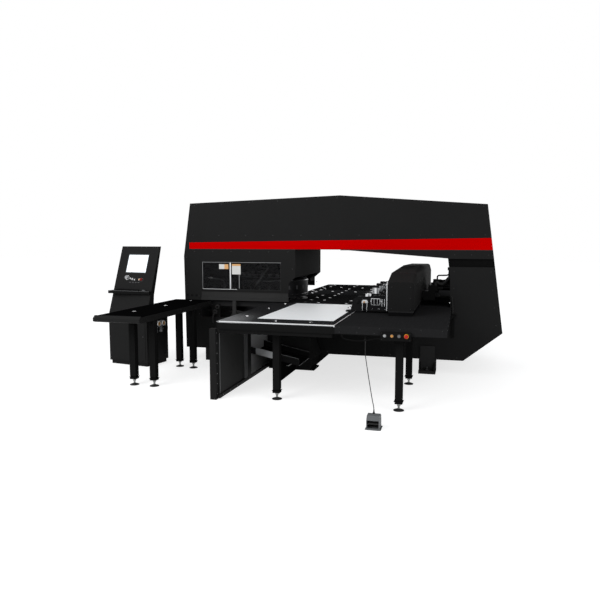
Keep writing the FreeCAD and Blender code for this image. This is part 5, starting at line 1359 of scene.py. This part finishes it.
class PRESS_OT_table_details(bpy.types.Operator):
    """Adds the tables' screws, brackets, adjusting nuts and the legs' end plugs"""

    bl_idname = "press.table_details"
    bl_label = "Table Details"

    def execute(self, context):
        flat = PASS_LINE - 0.0006
        flats = facing(line_of((-0.780, -2.7590, flat), (0.390, -2.7590, flat), 9), UP)
        flats += facing(line_of((0.444, -2.700, flat), (0.444, -0.850, flat), 9), UP)
        cap_screws("strip_screws", flats + mirrored(flats), 0.0035, 0.0009)
        skirt = facing(line_of((SKIRT_RIGHT, -2.700, 0.862), (SKIRT_RIGHT, -0.850, 0.862), 7), TO_RIGHT)
        skirt += mirrored(skirt)
        skirt += facing(line_of((0.500, SKIRT_FRONT, 0.862), (1.530, SKIRT_FRONT, 0.862), 6), TO_FRONT)
        skirt += facing(line_of((0.500, SKIRT_FRONT, 0.812), (0.860, SKIRT_FRONT, 0.812), 3), TO_FRONT)
        cap_screws("skirt_screws", skirt, 0.006, 0.0035)
        side = []
        for x, way in ((-2.360, TO_LEFT), (-1.800, TO_RIGHT)):
            side += facing(line_of((x, -2.60, 0.845), (x, -0.85, 0.845), 7), way)
        cap_screws("side_rim_screws", side, 0.006, 0.0035)
        plugs, nuts, soles = Form(), Form(), Form()
        for x, y in FRONT_LEGS + REAR_LEGS + SIDE_LEGS:
            plugs.square(x, y, 0.0395, 0.0745, 0.0975, 0.0105, 1)
            plugs.square(x, y, 0.048, 0.1000, 0.1025, 0.0008, 1)
            nuts.rod((x, y, 0.0560), (x, y, 0.0700), 0.0195, 6)
            nuts.ring((x, y, 0.0530), UP, 0.0200, 0.0105, 0.0026, 24)
            for i in range(7):
                nuts.ring((x, y, 0.0255 + i * 0.0038), UP, 0.0121, 0.0098, 0.0020, 16)
            soles.ring((x, y, 0.0004), UP, 0.0560, 0.0460, 0.0070, 36)
        plugs.done("leg_plugs", "black_enamel")
        nuts.done("foot_nuts", "zinc_foot")
        soles.done("foot_soles", "rubber_black")
        self.brackets()
        return {"FINISHED"}

    def brackets(self):
        plates = Form()
        for x, y in FRONT_LEGS + REAR_LEGS:
            plates.square(x, y, 0.055, 0.778, 0.7875, 0.002)
            for way in SIDES:
                edge, tip = x + way * 0.038, x + way * 0.098
                corners = [(edge, y - 0.003, 0.779), (tip, y - 0.003, 0.779), (edge, y - 0.003, 0.690)]
                plates.prism(corners, (0.0, 0.006, 0.0), 0.0008)
        for x, y in SIDE_LEGS:
            for way in SIDES:
                edge, tip = y + way * 0.038, y + way * 0.093
                corners = [(x - 0.003, edge, 0.804), (x - 0.003, tip, 0.804), (x - 0.003, edge, 0.725)]
                plates.prism(corners, (0.006, 0.0, 0.0), 0.0008)
        plates.done("leg_brackets", "black_enamel")


class PRESS_OT_guard_details(bpy.types.Operator):
    """Adds the guard's rivets, bright edge, seal, stile and latch, and dresses the scrap chute and bin"""

    bl_idname = "press.guard_details"
    bl_label = "Guard and Chute Details"

    def execute(self, context):
        radius = context.scene.press_details.rivet
        rivets = []
        for x, way in ((GUARD_POST_RIGHT, TO_RIGHT), (GUARD_LEFT, TO_LEFT)):
            rivets += facing(line_of((x, -2.729, 0.060), (x, -2.729, 0.740), 7), way)
        for z in (0.766, 0.032):
            rivets += facing(line_of((GUARD_RIGHT, -2.640, z), (GUARD_RIGHT, -0.920, z), 9), TO_RIGHT)
        cap_screws("guard_rivets", rivets, radius, radius * 0.5, "dull_aluminium")
        for name, coat, low, high, soft in (
            ("guard_edges", "dull_aluminium", (-0.8568, -2.6925, 0.056), (-0.8540, -2.6890, 0.741), 0.0006),
            ("guard_seal", "rubber_black", (-0.8900, -2.6925, 0.0540), (-0.8632, -2.6800, 0.7440), 0.0010),
            ("guard_stile", "post_grey", (-0.8542, -1.9480, 0.0570), (-0.8410, -1.8500, 0.7400), 0.0008),
        ):
            blocks(name, coat, (low, high, soft))
        latch = Form()
        latch.block((-0.9000, -1.815, 0.400), (-0.8802, -1.765, 0.520), 0.003)
        feet = [(-0.9000, -1.790, z) for z in (0.425, 0.495)]
        latch.handle(*feet, (-0.0280, 0.0, 0.0), 0.007, 0.008, 0.013, (14, 14))
        latch.done("guard_latch", "plastic_black")
        self.chute()
        return {"FINISHED"}

    def chute(self):
        def side_point(x, y, above):
            """A point over the chute's sloping bottom."""
            return (x, y, 0.196 + (-0.222 - x) * 0.203 + above)

        wear, hems, handle = Form(), Form(), Form()
        for y in (-1.7014, -1.2010):
            x0, x1 = -0.7880, -0.5700
            corners = ((x0, 0.004), (x1, 0.004), (x1 + 0.03, 0.087), (x0, 0.087))
            wear.prism([side_point(x, y, above) for x, above in corners], (0.0, 0.0024, 0.0), 0.0006)
        wear.done("chute_wear_plates", "bright_steel")
        for y in (-1.698, -1.202):
            hems.rod(side_point(-0.849, y, 0.0865), side_point(-0.223, y, 0.0865), 0.0035, 12)
        hems.rod((-0.2225, -1.697, 0.1985), (-0.2225, -1.203, 0.1985), 0.0035, 12)
        hems.done("chute_hems", "dull_aluminium")
        handle.handle(
            (-0.452, -1.50, 0.150), (-0.452, -1.32, 0.150), (0.037, 0.0, 0.0), 0.005, 0.0065, 0.012, (12, 14))
        handle.done("bin_handle", "zinc_foot")


class PRESS_OT_console_details(bpy.types.Operator):
    """Fits the console with its bezel, controls, keys, door, vents and the air unit's gauges"""

    bl_idname = "press.console_details"
    bl_label = "Console Details"

    def execute(self, context):
        louvre = context.scene.press_details.louvre
        self.face()
        self.shelf()
        self.cabinet(louvre * 0.5)
        self.gauges()
        self.filters()
        return {"FINISHED"}

    def face(self):
        x0, x1, y0, y1 = 0.163, 0.509, 0.6290, 0.8852
        rim = 0.010
        sides = ((x0 - rim, x1 + rim, y0 - rim, y0), (x0 - rim, x1 + rim, y1, y1 + rim),
                 (x0 - rim, x0, y0, y1), (x1, x1 + rim, y0, y1))
        blocks(
            "screen_bezel", "plastic_grey", *(((a, c, 0.0), (b, d, 0.003), 0.0008) for a, b, c, d in sides),
            place=CONSOLE_FACE)
        bright, dark, amber = Form(CONSOLE_FACE), Form(CONSOLE_FACE), Form(CONSOLE_FACE)
        lamp = (0.423, 0.5245, 0.0)
        bright.ring((0.205, 0.5478, 0.0), UP, 0.034, 0.0105, 0.003, 36)
        for x, y, size in ((0.262, 0.536, 0.013), (0.300, 0.529, 0.015), (0.340, 0.520, 0.012)):
            bright.ring((x, y, 0.0), UP, size, size * 0.66, 0.004, 28)
            bright.knob((x, y, 0.0), UP, size * 0.6, 0.007, size * 0.45, 0.009)
        bright.ring(lamp, UP, 0.0155, 0.0112, 0.004, 28)
        bright.done("console_controls", "chrome")
        amber.knob(lamp, UP, 0.0108, 0.006, 0.007, 0.008)
        amber.done("console_lamp", "button_amber")
        dark.ring((0.468, 0.5245, 0.0), UP, 0.0245, 0.0085, 0.0024, 32)
        for x in (0.270, 0.320, 0.370, 0.420):
            dark.block((x - 0.015, 0.478, 0.0), (x + 0.015, 0.486, 0.0012), 0.0003, 1)
        dark.done("console_plates", "label_grey")
        aim = tuple(CONSOLE_FACE.to_3x3() @ Vector(UP))
        corners = [Vector((x, y, 0.0)) for x in (0.03, 0.642) for y in (0.03, 0.57, 0.98)]
        places = [tuple(CONSOLE_FACE @ corner) for corner in corners]
        cap_screws("console_face_screws", facing(places, aim), 0.005, 0.003)

    def shelf(self):
        pattern("grid").grow(
            "keyboard_keys", "plastic_black", place=CONSOLE, Columns=16, Rows=3, Pitch=(0.0235, 0.0155, 0.0),
            Middle=(0.286, 0.0820, 1.0595), Size=(0.0190, 0.0125, 0.006))
        things = Form(CONSOLE)
        things.block((0.545, 0.0740, 1.0492), (0.589, 0.1030, 1.0620), 0.005, 3)
        things.rod((0.004, 0.0035, 1.0425), (0.668, 0.0730, 1.0425), 0.0030, 12)
        things.done("shelf_things", "plastic_grey")
        path = [(0.567, 0.102, 1.056), (0.563, 0.109, 1.054), (0.540, 0.112, 1.049), (0.500, 0.112, 1.045)]
        hose("mouse_cable", path, 0.0016, "plastic_black", place=CONSOLE, sides=6)

    def cabinet(self, step):
        door = ((0.030, -0.0045, 0.075), (0.642, 0.0, 0.675), 0.0015)
        blocks("console_door", "cover_enamel", door, place=CONSOLE)
        irons, feet = Form(CONSOLE), Form(CONSOLE)
        for z in (0.15, 0.37, 0.59):
            irons.rod((0.030, -0.004, z - 0.022), (0.030, -0.004, z + 0.022), 0.0052, 12)
        irons.knob((0.612, -0.0045, 0.420), TO_FRONT, 0.0130, 0.003, 0.0100, 0.006)
        irons.block((0.609, -0.0125, 0.406), (0.615, -0.0095, 0.434), 0.0008)
        irons.done("console_irons", "black_screw")
        for name, count, first, size, lean in (
            ("console_vents", 9, (0.6732, 0.365, 0.500), (0.004, 0.110, 0.002), (0.0, 30.0, 0.0)),
            ("console_rear_vents", 10, (0.336, 0.4612, 0.180), (0.280, 0.004, 0.002), (30.0, 0.0, 0.0)),
        ):
            slats(name, "cover_enamel", count, first, (0.0, 0.0, step), size, lean, place=CONSOLE)
        profile = [(0.0, 0.0), (0.022, 0.0), (0.022, 0.008), (0.014, 0.014), (0.014, 0.030), (0.0, 0.030)]
        for x in (0.075, 0.597):
            for y in (0.075, 0.385):
                feet.turned((x, y, 0.0), UP, profile, 20)
        feet.done("console_feet", "rubber_black")

    def gauges(self):
        rims, faces, marks = Form(AIR_UNIT), Form(AIR_UNIT), Form(AIR_UNIT)
        z = 0.590
        for y in AIR_STAGES:
            rims.ring((0.0835, y, z), TO_RIGHT, 0.0365, 0.0290, 0.008, 36)
            faces.disc((0.0838, y, z), TO_RIGHT, 0.0288, 0.0030, 36)
            marks.rod((0.0872, y - 0.012, z - 0.014), (0.0872, y + 0.010, z + 0.012), 0.0011, 6)
            marks.disc((0.0866, y, z), TO_RIGHT, 0.004, 0.0022, 16)
        rims.done("gauge_rims", "label_white")
        faces.done("gauge_faces", "gauge_face")
        marks.done("gauge_needles", "plastic_black")

    def filters(self):
        bowls, collars = Form(AIR_UNIT), Form(AIR_UNIT)
        x, radius = 0.0295, 0.0205
        bowl = [(0.0, 0.0), (0.0200, 0.0), (0.0270, 0.012), (0.0270, 0.060), (0.0, 0.060)]
        for y in AIR_STAGES:
            bowls.turned((x, y, 0.472), UP, bowl, 28)
            collars.ring((x, y, 0.534), UP, 0.0290, 0.0240, 0.020, 28)
            collars.disc((x, y, 0.4655), UP, 0.006, 0.008, 12)
        bowls.done("filter_bowls", "clear_bowl")
        for i in range(14):
            angle = 2.0 * math.pi / 14 * i
            dx, dy = radius * math.cos(angle), radius * math.sin(angle)
            collars.rod((x + dx, AIR_STAGES[0] + dy, 0.634), (x + dx, AIR_STAGES[0] + dy, 0.652), 0.0022, 8)
        for y in (0.112, 0.3115):
            collars.block((0.002, y, 0.556), (0.050, y + 0.0065, 0.624), 0.002)
        collars.done("air_unit_fittings", "plastic_grey")
        lines = (
            ((0.028, 0.318, 0.590), (0.032, 0.345, 0.590), (0.050, 0.375, 0.560), (0.044, 0.395, 0.440),
             (0.032, 0.405, 0.250), (0.015, 0.410, 0.140), (0.001, 0.412, 0.110)),
            ((0.028, 0.112, 0.590), (0.032, 0.090, 0.588), (0.044, 0.068, 0.560), (0.048, 0.060, 0.430),
             (0.036, 0.062, 0.300), (0.001, 0.066, 0.250)))
        for i, points in enumerate(lines):
            hose(f"air_line_{i}", points, 0.0055, "rubber_black", place=AIR_UNIT)


class PRESS_OT_button_box_details(bpy.types.Operator):
    """Adds the buttons' bezels, the stop button's ring, plain legend plates and the box's screws"""

    bl_idname = "press.button_box_details"
    bl_label = "Button Box Details"

    def execute(self, context):
        bezels, ring, glands, dome = Form(), Form(), Form(), Form()
        for x in BUTTONS_X:
            bezels.ring((x, BOX_FACE, BUTTONS_Z), TO_FRONT, 0.0185, 0.0146, 0.0035, 32)
        bezels.done("button_bezels", "plastic_grey")
        ring.ring((STOP_BUTTON_X, BOX_FACE, BUTTONS_Z), TO_FRONT, 0.0232, 0.0090, 0.0030, 36)
        ring.done("stop_ring", "yellow_ring")
        blocks("legend_plates", "plastic_black", *(
            ((x - 0.017, BOX_FACE - 0.0010, 0.7645), (x + 0.017, BOX_FACE, 0.7725), 0.0003, 1)
            for x in BUTTONS_X))
        corners = [(x, BOX_FACE, z) for x in (0.938, 1.219) for z in (0.759, 0.826)]
        cap_screws("box_screws", facing(corners, TO_FRONT), 0.0038, 0.0025)
        y, z = -2.753, 0.758
        glands.rod((0.9295, y, z), (0.9110, y, z), 0.0105, 6)
        glands.rod((0.9120, y, z), (0.9020, y, z), 0.0085, 16)
        glands.rod((0.525, y, 0.7875), (0.525, y, 0.7740), 0.0105, 6)
        glands.done("lead_glands", "plastic_black")
        crown = [(0.0, 0.0), (0.0155, 0.0), (0.0120, 0.0016), (0.0, 0.0022)]
        dome.turned((STOP_BUTTON_X, -2.8262, BUTTONS_Z), TO_FRONT, crown, 28)
        dome.done("stop_dome", "button_red", "box_estop")
        return {"FINISHED"}


class PRESS_OT_pedal_details(bpy.types.Operator):
    """Adds the pedal's base flange, tread, screws and gland nut"""

    bl_idname = "press.pedal_details"
    bl_label = "Pedal Details"

    def execute(self, context):
        blocks("pedal_base", "pedal_paint", ((0.866, -3.3560, 0.0003), (1.014, -3.2040, 0.0042), 0.0010))
        screws = facing([(x, y, 0.0042) for x in (0.8725, 1.0075) for y in (-3.345, -3.215)], UP)
        for x, way in ((0.880, TO_LEFT), (1.000, TO_RIGHT)):
            screws += facing([(x, -3.215, 0.110), (x, -3.215, 0.020), (x, -3.290, 0.115)], way)
        cap_screws("pedal_screws", screws, 0.0042, 0.0022, "zinc_foot")
        rows = [-3.340 + i * 0.0125 for i in range(7)]
        ribs = [((0.896, y, 0.0635), (0.984, y + 0.0065, 0.0662), 0.0009) for y in rows]
        blocks("treadle_tread", "rubber_black", *ribs, body="treadle")
        gland = Form()
        gland.rod((PEDAL_X, PEDAL_GLAND_Y, 0.1290), (PEDAL_X, PEDAL_GLAND_Y, 0.1385), 0.0125, 6)
        gland.done("pedal_gland_nut", "plastic_black")
        return {"FINISHED"}


class PRESS_OT_beam_details(bpy.types.Operator):
    """Adds the beam cover's bright edge, screws and sweeping bristles, and the end stops' boots and clamps"""

    bl_idname = "press.beam_details"
    bl_label = "Beam Details"

    def execute(self, context):
        edge = ((0.8665, -1.8670, 0.9375), (0.8745, -1.8420, 1.2370), 0.0012)
        blocks("beam_edge", "aluminium_strip", edge, body="beam")
        places = []
        for y, way in ((-1.865, TO_FRONT), (1.865, TO_BACK)):
            holes = ((0.925, 0.965), (1.140, 0.965), (0.925, 1.215), (1.140, 1.215), (1.140, 1.090))
            places += facing([(x, y, z) for x, z in holes], way)
        for z in (0.965, 1.225):
            places += facing(line_of((1.180, -1.78, z), (1.180, 1.78, z), 9), TO_RIGHT)
        cap_screws("beam_screws", places, 0.006, 0.0035, body="beam")
        low, high = 0.9240, 0.9352
        bars = [((x, -1.855, low), (x + 0.006, 1.855, high), 0.001) for x in (0.888, 1.166)]
        bars += [((0.888, y, low), (1.172, y + 0.006, high), 0.001) for y in (-1.861, 1.855)]
        blocks("sweeper_holders", "black_screw", *bars, body="beam")
        middle = 0.9050
        for name, x in (("left", 0.891), ("right", 1.169)):
            first, step, size = (x, -1.848, middle), (0.0, 0.01196, 0.0), (0.0035, 0.0085, 0.0400)
            slats("sweeper_" + name, "nylon", 310, first, step, size, body="beam")
        for name, y in (("front", -1.858), ("rear", 1.858)):
            first, step, size = (0.899, y, middle), (0.0119, 0.0, 0.0), (0.0085, 0.0035, 0.0400)
            slats("sweeper_" + name, "nylon", 23, first, step, size, body="beam")
        self.stops()
        return {"FINISHED"}

    def stops(self):
        irons, boots = Form(), Form()
        profile = [(0.0, 0.0), (0.020, 0.0)]
        for i in range(7):
            profile += [(0.0235, 0.003 + i * 0.0085), (0.0185, 0.0072 + i * 0.0085)]
        profile += [(0.020, 0.0625), (0.0, 0.0625)]
        for y in STOP_ROWS:
            irons.block((1.215, y - 0.038, 1.0705), (1.262, y + 0.038, 1.0765), 0.001)
            irons.block((1.2825, y - 0.036, 1.1525), (1.330, y + 0.036, 1.1580), 0.001)
            for x in (1.225, 1.252):
                for dy in (-0.025, 0.025):
                    irons.rod((x, y + dy, 1.076), (x, y + dy, 1.081), 0.006, 6)
            boots.turned((1.3585, y, 1.013), TO_RIGHT, profile, 20)
            boots.turned((1.3945, y, 1.114), TO_RIGHT, profile, 20)
        irons.done("stop_irons", "black_screw")
        boots.done("stop_boots", "rubber_black")


class PRESS_OT_clamp_details(bpy.types.Operator):
    """Builds up the three sheet clamps with their cylinders, plates, bolts, fittings and air lines"""

    bl_idname = "press.clamp_details"
    bl_label = "Clamp Details"

    def execute(self, context):
        bright, steel, dark, caps, orange = Form(), Form(), Form(), Form(), Form()
        bolts, jaw_bolts = [], []
        for y in CLAMP_ROWS:
            self.cylinder(bright, steel, y)
            for way in SIDES:
                self.cheek(bright, steel, y, way)
                aim = (0.0, way, 0.0)
                face = y + way * 0.0645
                bolts += facing([(x, face, 0.930) for x in (0.600, 0.675, 0.750, 0.825)], aim)
                bolts += facing([(x, face, 1.024) for x in (0.655, 0.775)], aim)
                jaw_bolts += facing([(0.380, y + way * 0.066, 0.935), (0.430, y + way * 0.066, 0.985)], aim)
                orange.knob((0.573, y + way * 0.0725, 1.010), aim, 0.0105, 0.0035, 0.008, 0.005, 20)
                caps.knob((0.492, y + way * 0.0660, 1.010), aim, 0.0190, 0.0040, 0.0150, 0.0060, 28)
            dark.block((0.835, y - 0.070, 0.905), (0.8595, y + 0.070, 1.105), 0.003)
            bolts += facing([(0.848, y - 0.0700, 0.930), (0.848, y - 0.0700, 1.080)], TO_FRONT)
        bright.done("clamp_bright_parts", "chrome", "carriage")
        steel.done("clamp_plates", "clamp_steel", "carriage")
        dark.done("clamp_brackets", "black_screw", "carriage")
        orange.done("clamp_markers", "button_amber", "carriage")
        caps.done("clamp_pivot_caps", "clamp_steel", "clamp_jaws")
        cap_screws("clamp_bolts", bolts, 0.0065, 0.0045, "chrome", "carriage")
        cap_screws("jaw_bolts", jaw_bolts, 0.0065, 0.0045, "black_screw", "clamp_jaws")
        routes = (
            ("clamp_line_", (
                (0.742, -0.020, 1.196), (0.775, -0.020, 1.216), (0.812, -0.008, 1.205), (0.838, 0.004, 1.180),
                (0.8585, 0.010, 1.170))),
            ("clamp_return_", (
                (0.742, 0.030, 1.108), (0.785, 0.034, 1.118), (0.820, 0.034, 1.128), (0.8585, 0.030, 1.130))))
        for i, y in enumerate(CLAMP_ROWS):
            row = Matrix.Translation((0.0, y, 0.0))
            for name, path in routes:
                hose(f"{name}{i}", path, 0.0045, "rubber_black", "carriage", row, sides=8)
        return {"FINISHED"}

    def cheek(self, bright, steel, y, way):
        """One side of a clamp's body, with its plate, the frame round its window, tie rods and link."""
        near, far = y + way * 0.0590, y + way * 0.0645
        steel.block((0.588, near, 0.905), (0.838, far, 0.955), 0.0012)
        bars = (
            (0.655, 0.765, 0.975, 0.981), (0.655, 0.765, 1.049, 1.055), (0.655, 0.661, 0.981, 1.049),
            (0.759, 0.765, 0.981, 1.049), (0.690, 0.694, 0.981, 1.049), (0.728, 0.732, 0.981, 1.049))
        for x0, x1, z0, z1 in bars:
            bright.block((x0, near, z0), (x1, far, z1), 0.0010, 1)
        rods = ((0.554, 0.900, 1.002, 0.0075), (0.609, 0.900, 1.002, 0.0075), (0.787, 0.960, 1.050, 0.0060),
                (0.817, 0.960, 1.050, 0.0060))
        for x, low, high, radius in rods:
            bright.rod((x, y + way * 0.0655, low), (x, y + way * 0.0655, high), radius, 12)
        link = (
            (0.544, 0.998), (0.619, 0.998), (0.619, 1.016), (0.606, 1.036), (0.560, 1.036), (0.544, 1.018))
        bright.prism([(x, y + way * 0.0585, z) for x, z in link], (0.0, way * 0.0145, 0.0), 0.002)

    def cylinder(self, bright, steel, y):
        """The upright air cylinder on the clamp's body, with its end blocks, tie rods and fittings."""
        x, corner = 0.705, 0.031
        for low, high in ((1.089, 1.109), (1.181, 1.205)):
            steel.square(x, y, 0.040, low, high, 0.002)
        bright.disc((x, y, 1.108), UP, 0.0310, 0.074, 28)
        bright.knob((x, y, 1.204), UP, 0.016, 0.006, 0.011, 0.008, 20)
        for dx in (-corner, corner):
            for dy in (-corner, corner):
                bright.rod((x + dx, y + dy, 1.107), (x + dx, y + dy, 1.183), 0.0035, 10)
                steel.rod((x + dx, y + dy, 1.204), (x + dx, y + dy, 1.210), 0.0060, 6)
        for dy, z in ((-0.020, 1.194), (0.030, 1.099)):
            bright.rod((x + 0.038, y + dy, z), (x + 0.052, y + dy, z), 0.0075, 6)
        bright.knob((0.642, y - 0.030, 1.062), UP, 0.020, 0.036, 0.013, 0.046, 22)
        bright.rod((0.604, y - 0.046, 1.082), (0.604, y + 0.046, 1.082), 0.0175, 22)
        for dy in (-0.0512, 0.0512):
            bright.block((0.588, y + dy - 0.006, 1.060), (0.620, y + dy + 0.006, 1.106), 0.0025)
        steel.block((0.622, y - 0.020, 1.066), (0.668, y + 0.020, 1.092), 0.003)


class PRESS_OT_column_details(bpy.types.Operator):
    """Adds the column's cable box and duct, the end stop's conduits and shield, anchor nuts and gussets"""

    bl_idname = "press.column_details"
    bl_label = "Column Details"

    def execute(self, context):
        self.cable_box()
        self.stop_cables()
        blocks(
            "column_duct", "black_enamel", ((1.5800, -0.7900, 0.4800), (1.6180, -0.7652, 0.7200), 0.003),
            ((1.5840, -0.7920, 0.4900), (1.6140, -0.7900, 0.7100), 0.0008))
        lid_holes = [(x, -0.8030, z) for x in (1.589, 1.629) for z in (0.751, 0.772)]
        cap_screws("column_box_screws", facing(lid_holes, TO_FRONT), 0.0030, 0.0018)
        self.anchors()
        return {"FINISHED"}

    def cable_box(self):
        box = Form()
        box.block((1.5780, -0.8000, 0.7400), (1.6400, -0.7652, 0.7830), 0.003)
        box.block((1.5830, -0.8030, 0.7450), (1.6350, -0.8000, 0.7780), 0.0012)
        box.rod((1.5950, -0.7860, 0.7830), (1.5950, -0.7860, 0.8000), 0.0110, 6)
        box.done("column_box", "plastic_black")
        path = [
            (1.595, -0.786, 0.798), (1.594, -0.787, 0.850), (1.590, -0.788, 0.930), (1.584, -0.786, 0.985),
            (1.578, -0.776, 1.010), (1.574, -0.766, 1.016)]
        hose("column_cable", path, 0.0085, "rubber_black", rib=0.0012, pitch=0.006, step=0.0015)

    def stop_cables(self):
        path = [
            (1.366, -0.618, 1.152), (1.366, -0.618, 1.180), (1.385, -0.621, 1.190), (1.420, -0.626, 1.172),
            (1.460, -0.630, 1.178), (1.500, -0.633, 1.212), (1.530, -0.634, 1.250), (1.546, -0.634, 1.262)]
        hose("stop_conduit", path, 0.0210, "rubber_black", rib=0.0012, pitch=0.008, step=0.002, sides=16)
        y = -0.5725
        path = [(1.300, y, 1.1705), (1.395, y, 1.1695), (1.440, y, 1.155), (1.546, y, 1.155)]
        hose("stop_lead", path, 0.0165, "rubber_black", rib=0.0010, pitch=0.008, step=0.002, sides=16)
        flanges = Form()
        for flange_y, z, radius in ((-0.634, 1.2615, 0.0260), (y, 1.1550, 0.0220)):
            flanges.rod((1.5420, flange_y, z), (1.5478, flange_y, z), radius, 24)
        flanges.done("stop_lead_flanges", "plastic_black")
        outline = (
            (1.360, 1.118), (1.5462, 1.118), (1.5462, 1.268), (1.531, 1.268), (1.481, 1.216), (1.4245, 1.185),
            (1.395, 1.200), (1.360, 1.200))
        shield = Form()
        shield.prism([(x, -0.5545, z) for x, z in outline], (0.0, 0.003, 0.0), 0.0006)
        shield.done("stop_shield", "black_enamel")

    def anchors(self):
        nuts, gussets = Form(), Form()
        for x in (-1.285, 1.285):
            for y in (-0.825, 0.825):
                nuts.ring((x, y, 0.0400), UP, 0.0300, 0.0145, 0.0050, 28)
                nuts.rod((x, y, 0.0450), (x, y, 0.0680), 0.0250, 6)
                nuts.rod((x, y, 0.0675), (x, y, 0.0920), 0.0135, 18)
        nuts.done("anchor_nuts", "black_screw")
        for x in (1.189, 1.369):
            for way in SIDES:
                corners = [(x, way * 0.786, 0.039), (x, way * 0.862, 0.039), (x, way * 0.786, 0.150)]
                gussets.prism(corners, (0.012, 0.0, 0.0), 0.0012)
        gussets.done("foot_gussets", "black_enamel")


# ---------------------------------------------------------------- finishes of the solids
OTHER_COATS = {
    "guard_panels": "guard_grey", "ball_tables": "brush_front", "front_table_frame": "black_enamel",
    "column_cover": "column_enamel", "clamp_bodies": "clamp_steel", "clamp_jaws": "clamp_steel",
    "air_service_unit": "air_grey", "pedestals": "pedestal_paint", "console_estop": "deep_red",
    "throat_liner": "liner_enamel", "levelling_feet": "levelling_foot", "beam_cover": "beam_enamel"}


class PRESS_OT_solid_finishes(bpy.types.Operator):
    """Gives every solid of the machine the finish of its slot, or the other coat that is named for it"""

    bl_idname = "press.solid_finishes"
    bl_label = "Finishes of the Solids"

    def execute(self, context):
        for name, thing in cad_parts.items():
            for place in thing.material_slots:
                place.material = finish(OTHER_COATS.get(name, place.material.name.split(".")[0]))
        return {"FINISHED"}


class PRESS_PT_panel(bpy.types.Panel):
    """Lists the pieces of the punch press and the sizes and colours that can be changed"""

    bl_idname = "PRESS_PT_panel"
    bl_label = "Punch Press"
    bl_space_type = "VIEW_3D"
    bl_region_type = "UI"
    bl_category = "Punch Press"

    def draw(self, context):
        for name in GROUPS:
            group = getattr(context.scene, name)
            box = self.layout.box()
            for key in group.bl_rna.properties.keys():
                if key not in {"rna_type", "name"}:
                    box.prop(group, key)
        for step in OPERATORS:
            self.layout.operator(step.bl_idname)


GROUPS = {
    "press_finishes": PressFinishes, "press_stage": StageSizes, "press_cord": PedalCordSizes,
    "press_details": DetailSizes, "press_brushes": BrushSizes}
OPERATORS = (
    PRESS_OT_stage, PRESS_OT_pedal_cord, PRESS_OT_solid_finishes, PRESS_OT_cover_details,
    PRESS_OT_window_details, PRESS_OT_bay_details, PRESS_OT_turret_details, PRESS_OT_brush_tables,
    PRESS_OT_table_details,
    PRESS_OT_guard_details, PRESS_OT_console_details, PRESS_OT_button_box_details, PRESS_OT_pedal_details,
    PRESS_OT_beam_details, PRESS_OT_clamp_details, PRESS_OT_column_details)
CLASSES = (*GROUPS.values(), *OPERATORS, PRESS_PT_panel)


def register():
    for part in CLASSES:
        bpy.utils.register_class(part)
    for name, group in GROUPS.items():
        setattr(bpy.types.Scene, name, PointerProperty(type=group))


def unregister():
    for name in GROUPS:
        delattr(bpy.types.Scene, name)
    for part in reversed(CLASSES):
        bpy.utils.unregister_class(part)


def main():
    register()
    for step in OPERATORS:
        group, name = step.bl_idname.split(".")
        if getattr(getattr(bpy.ops, group), name)() != {"FINISHED"}:
            raise RuntimeError(f"{step.bl_label} did not finish")


if __name__ == "__main__":
    main()
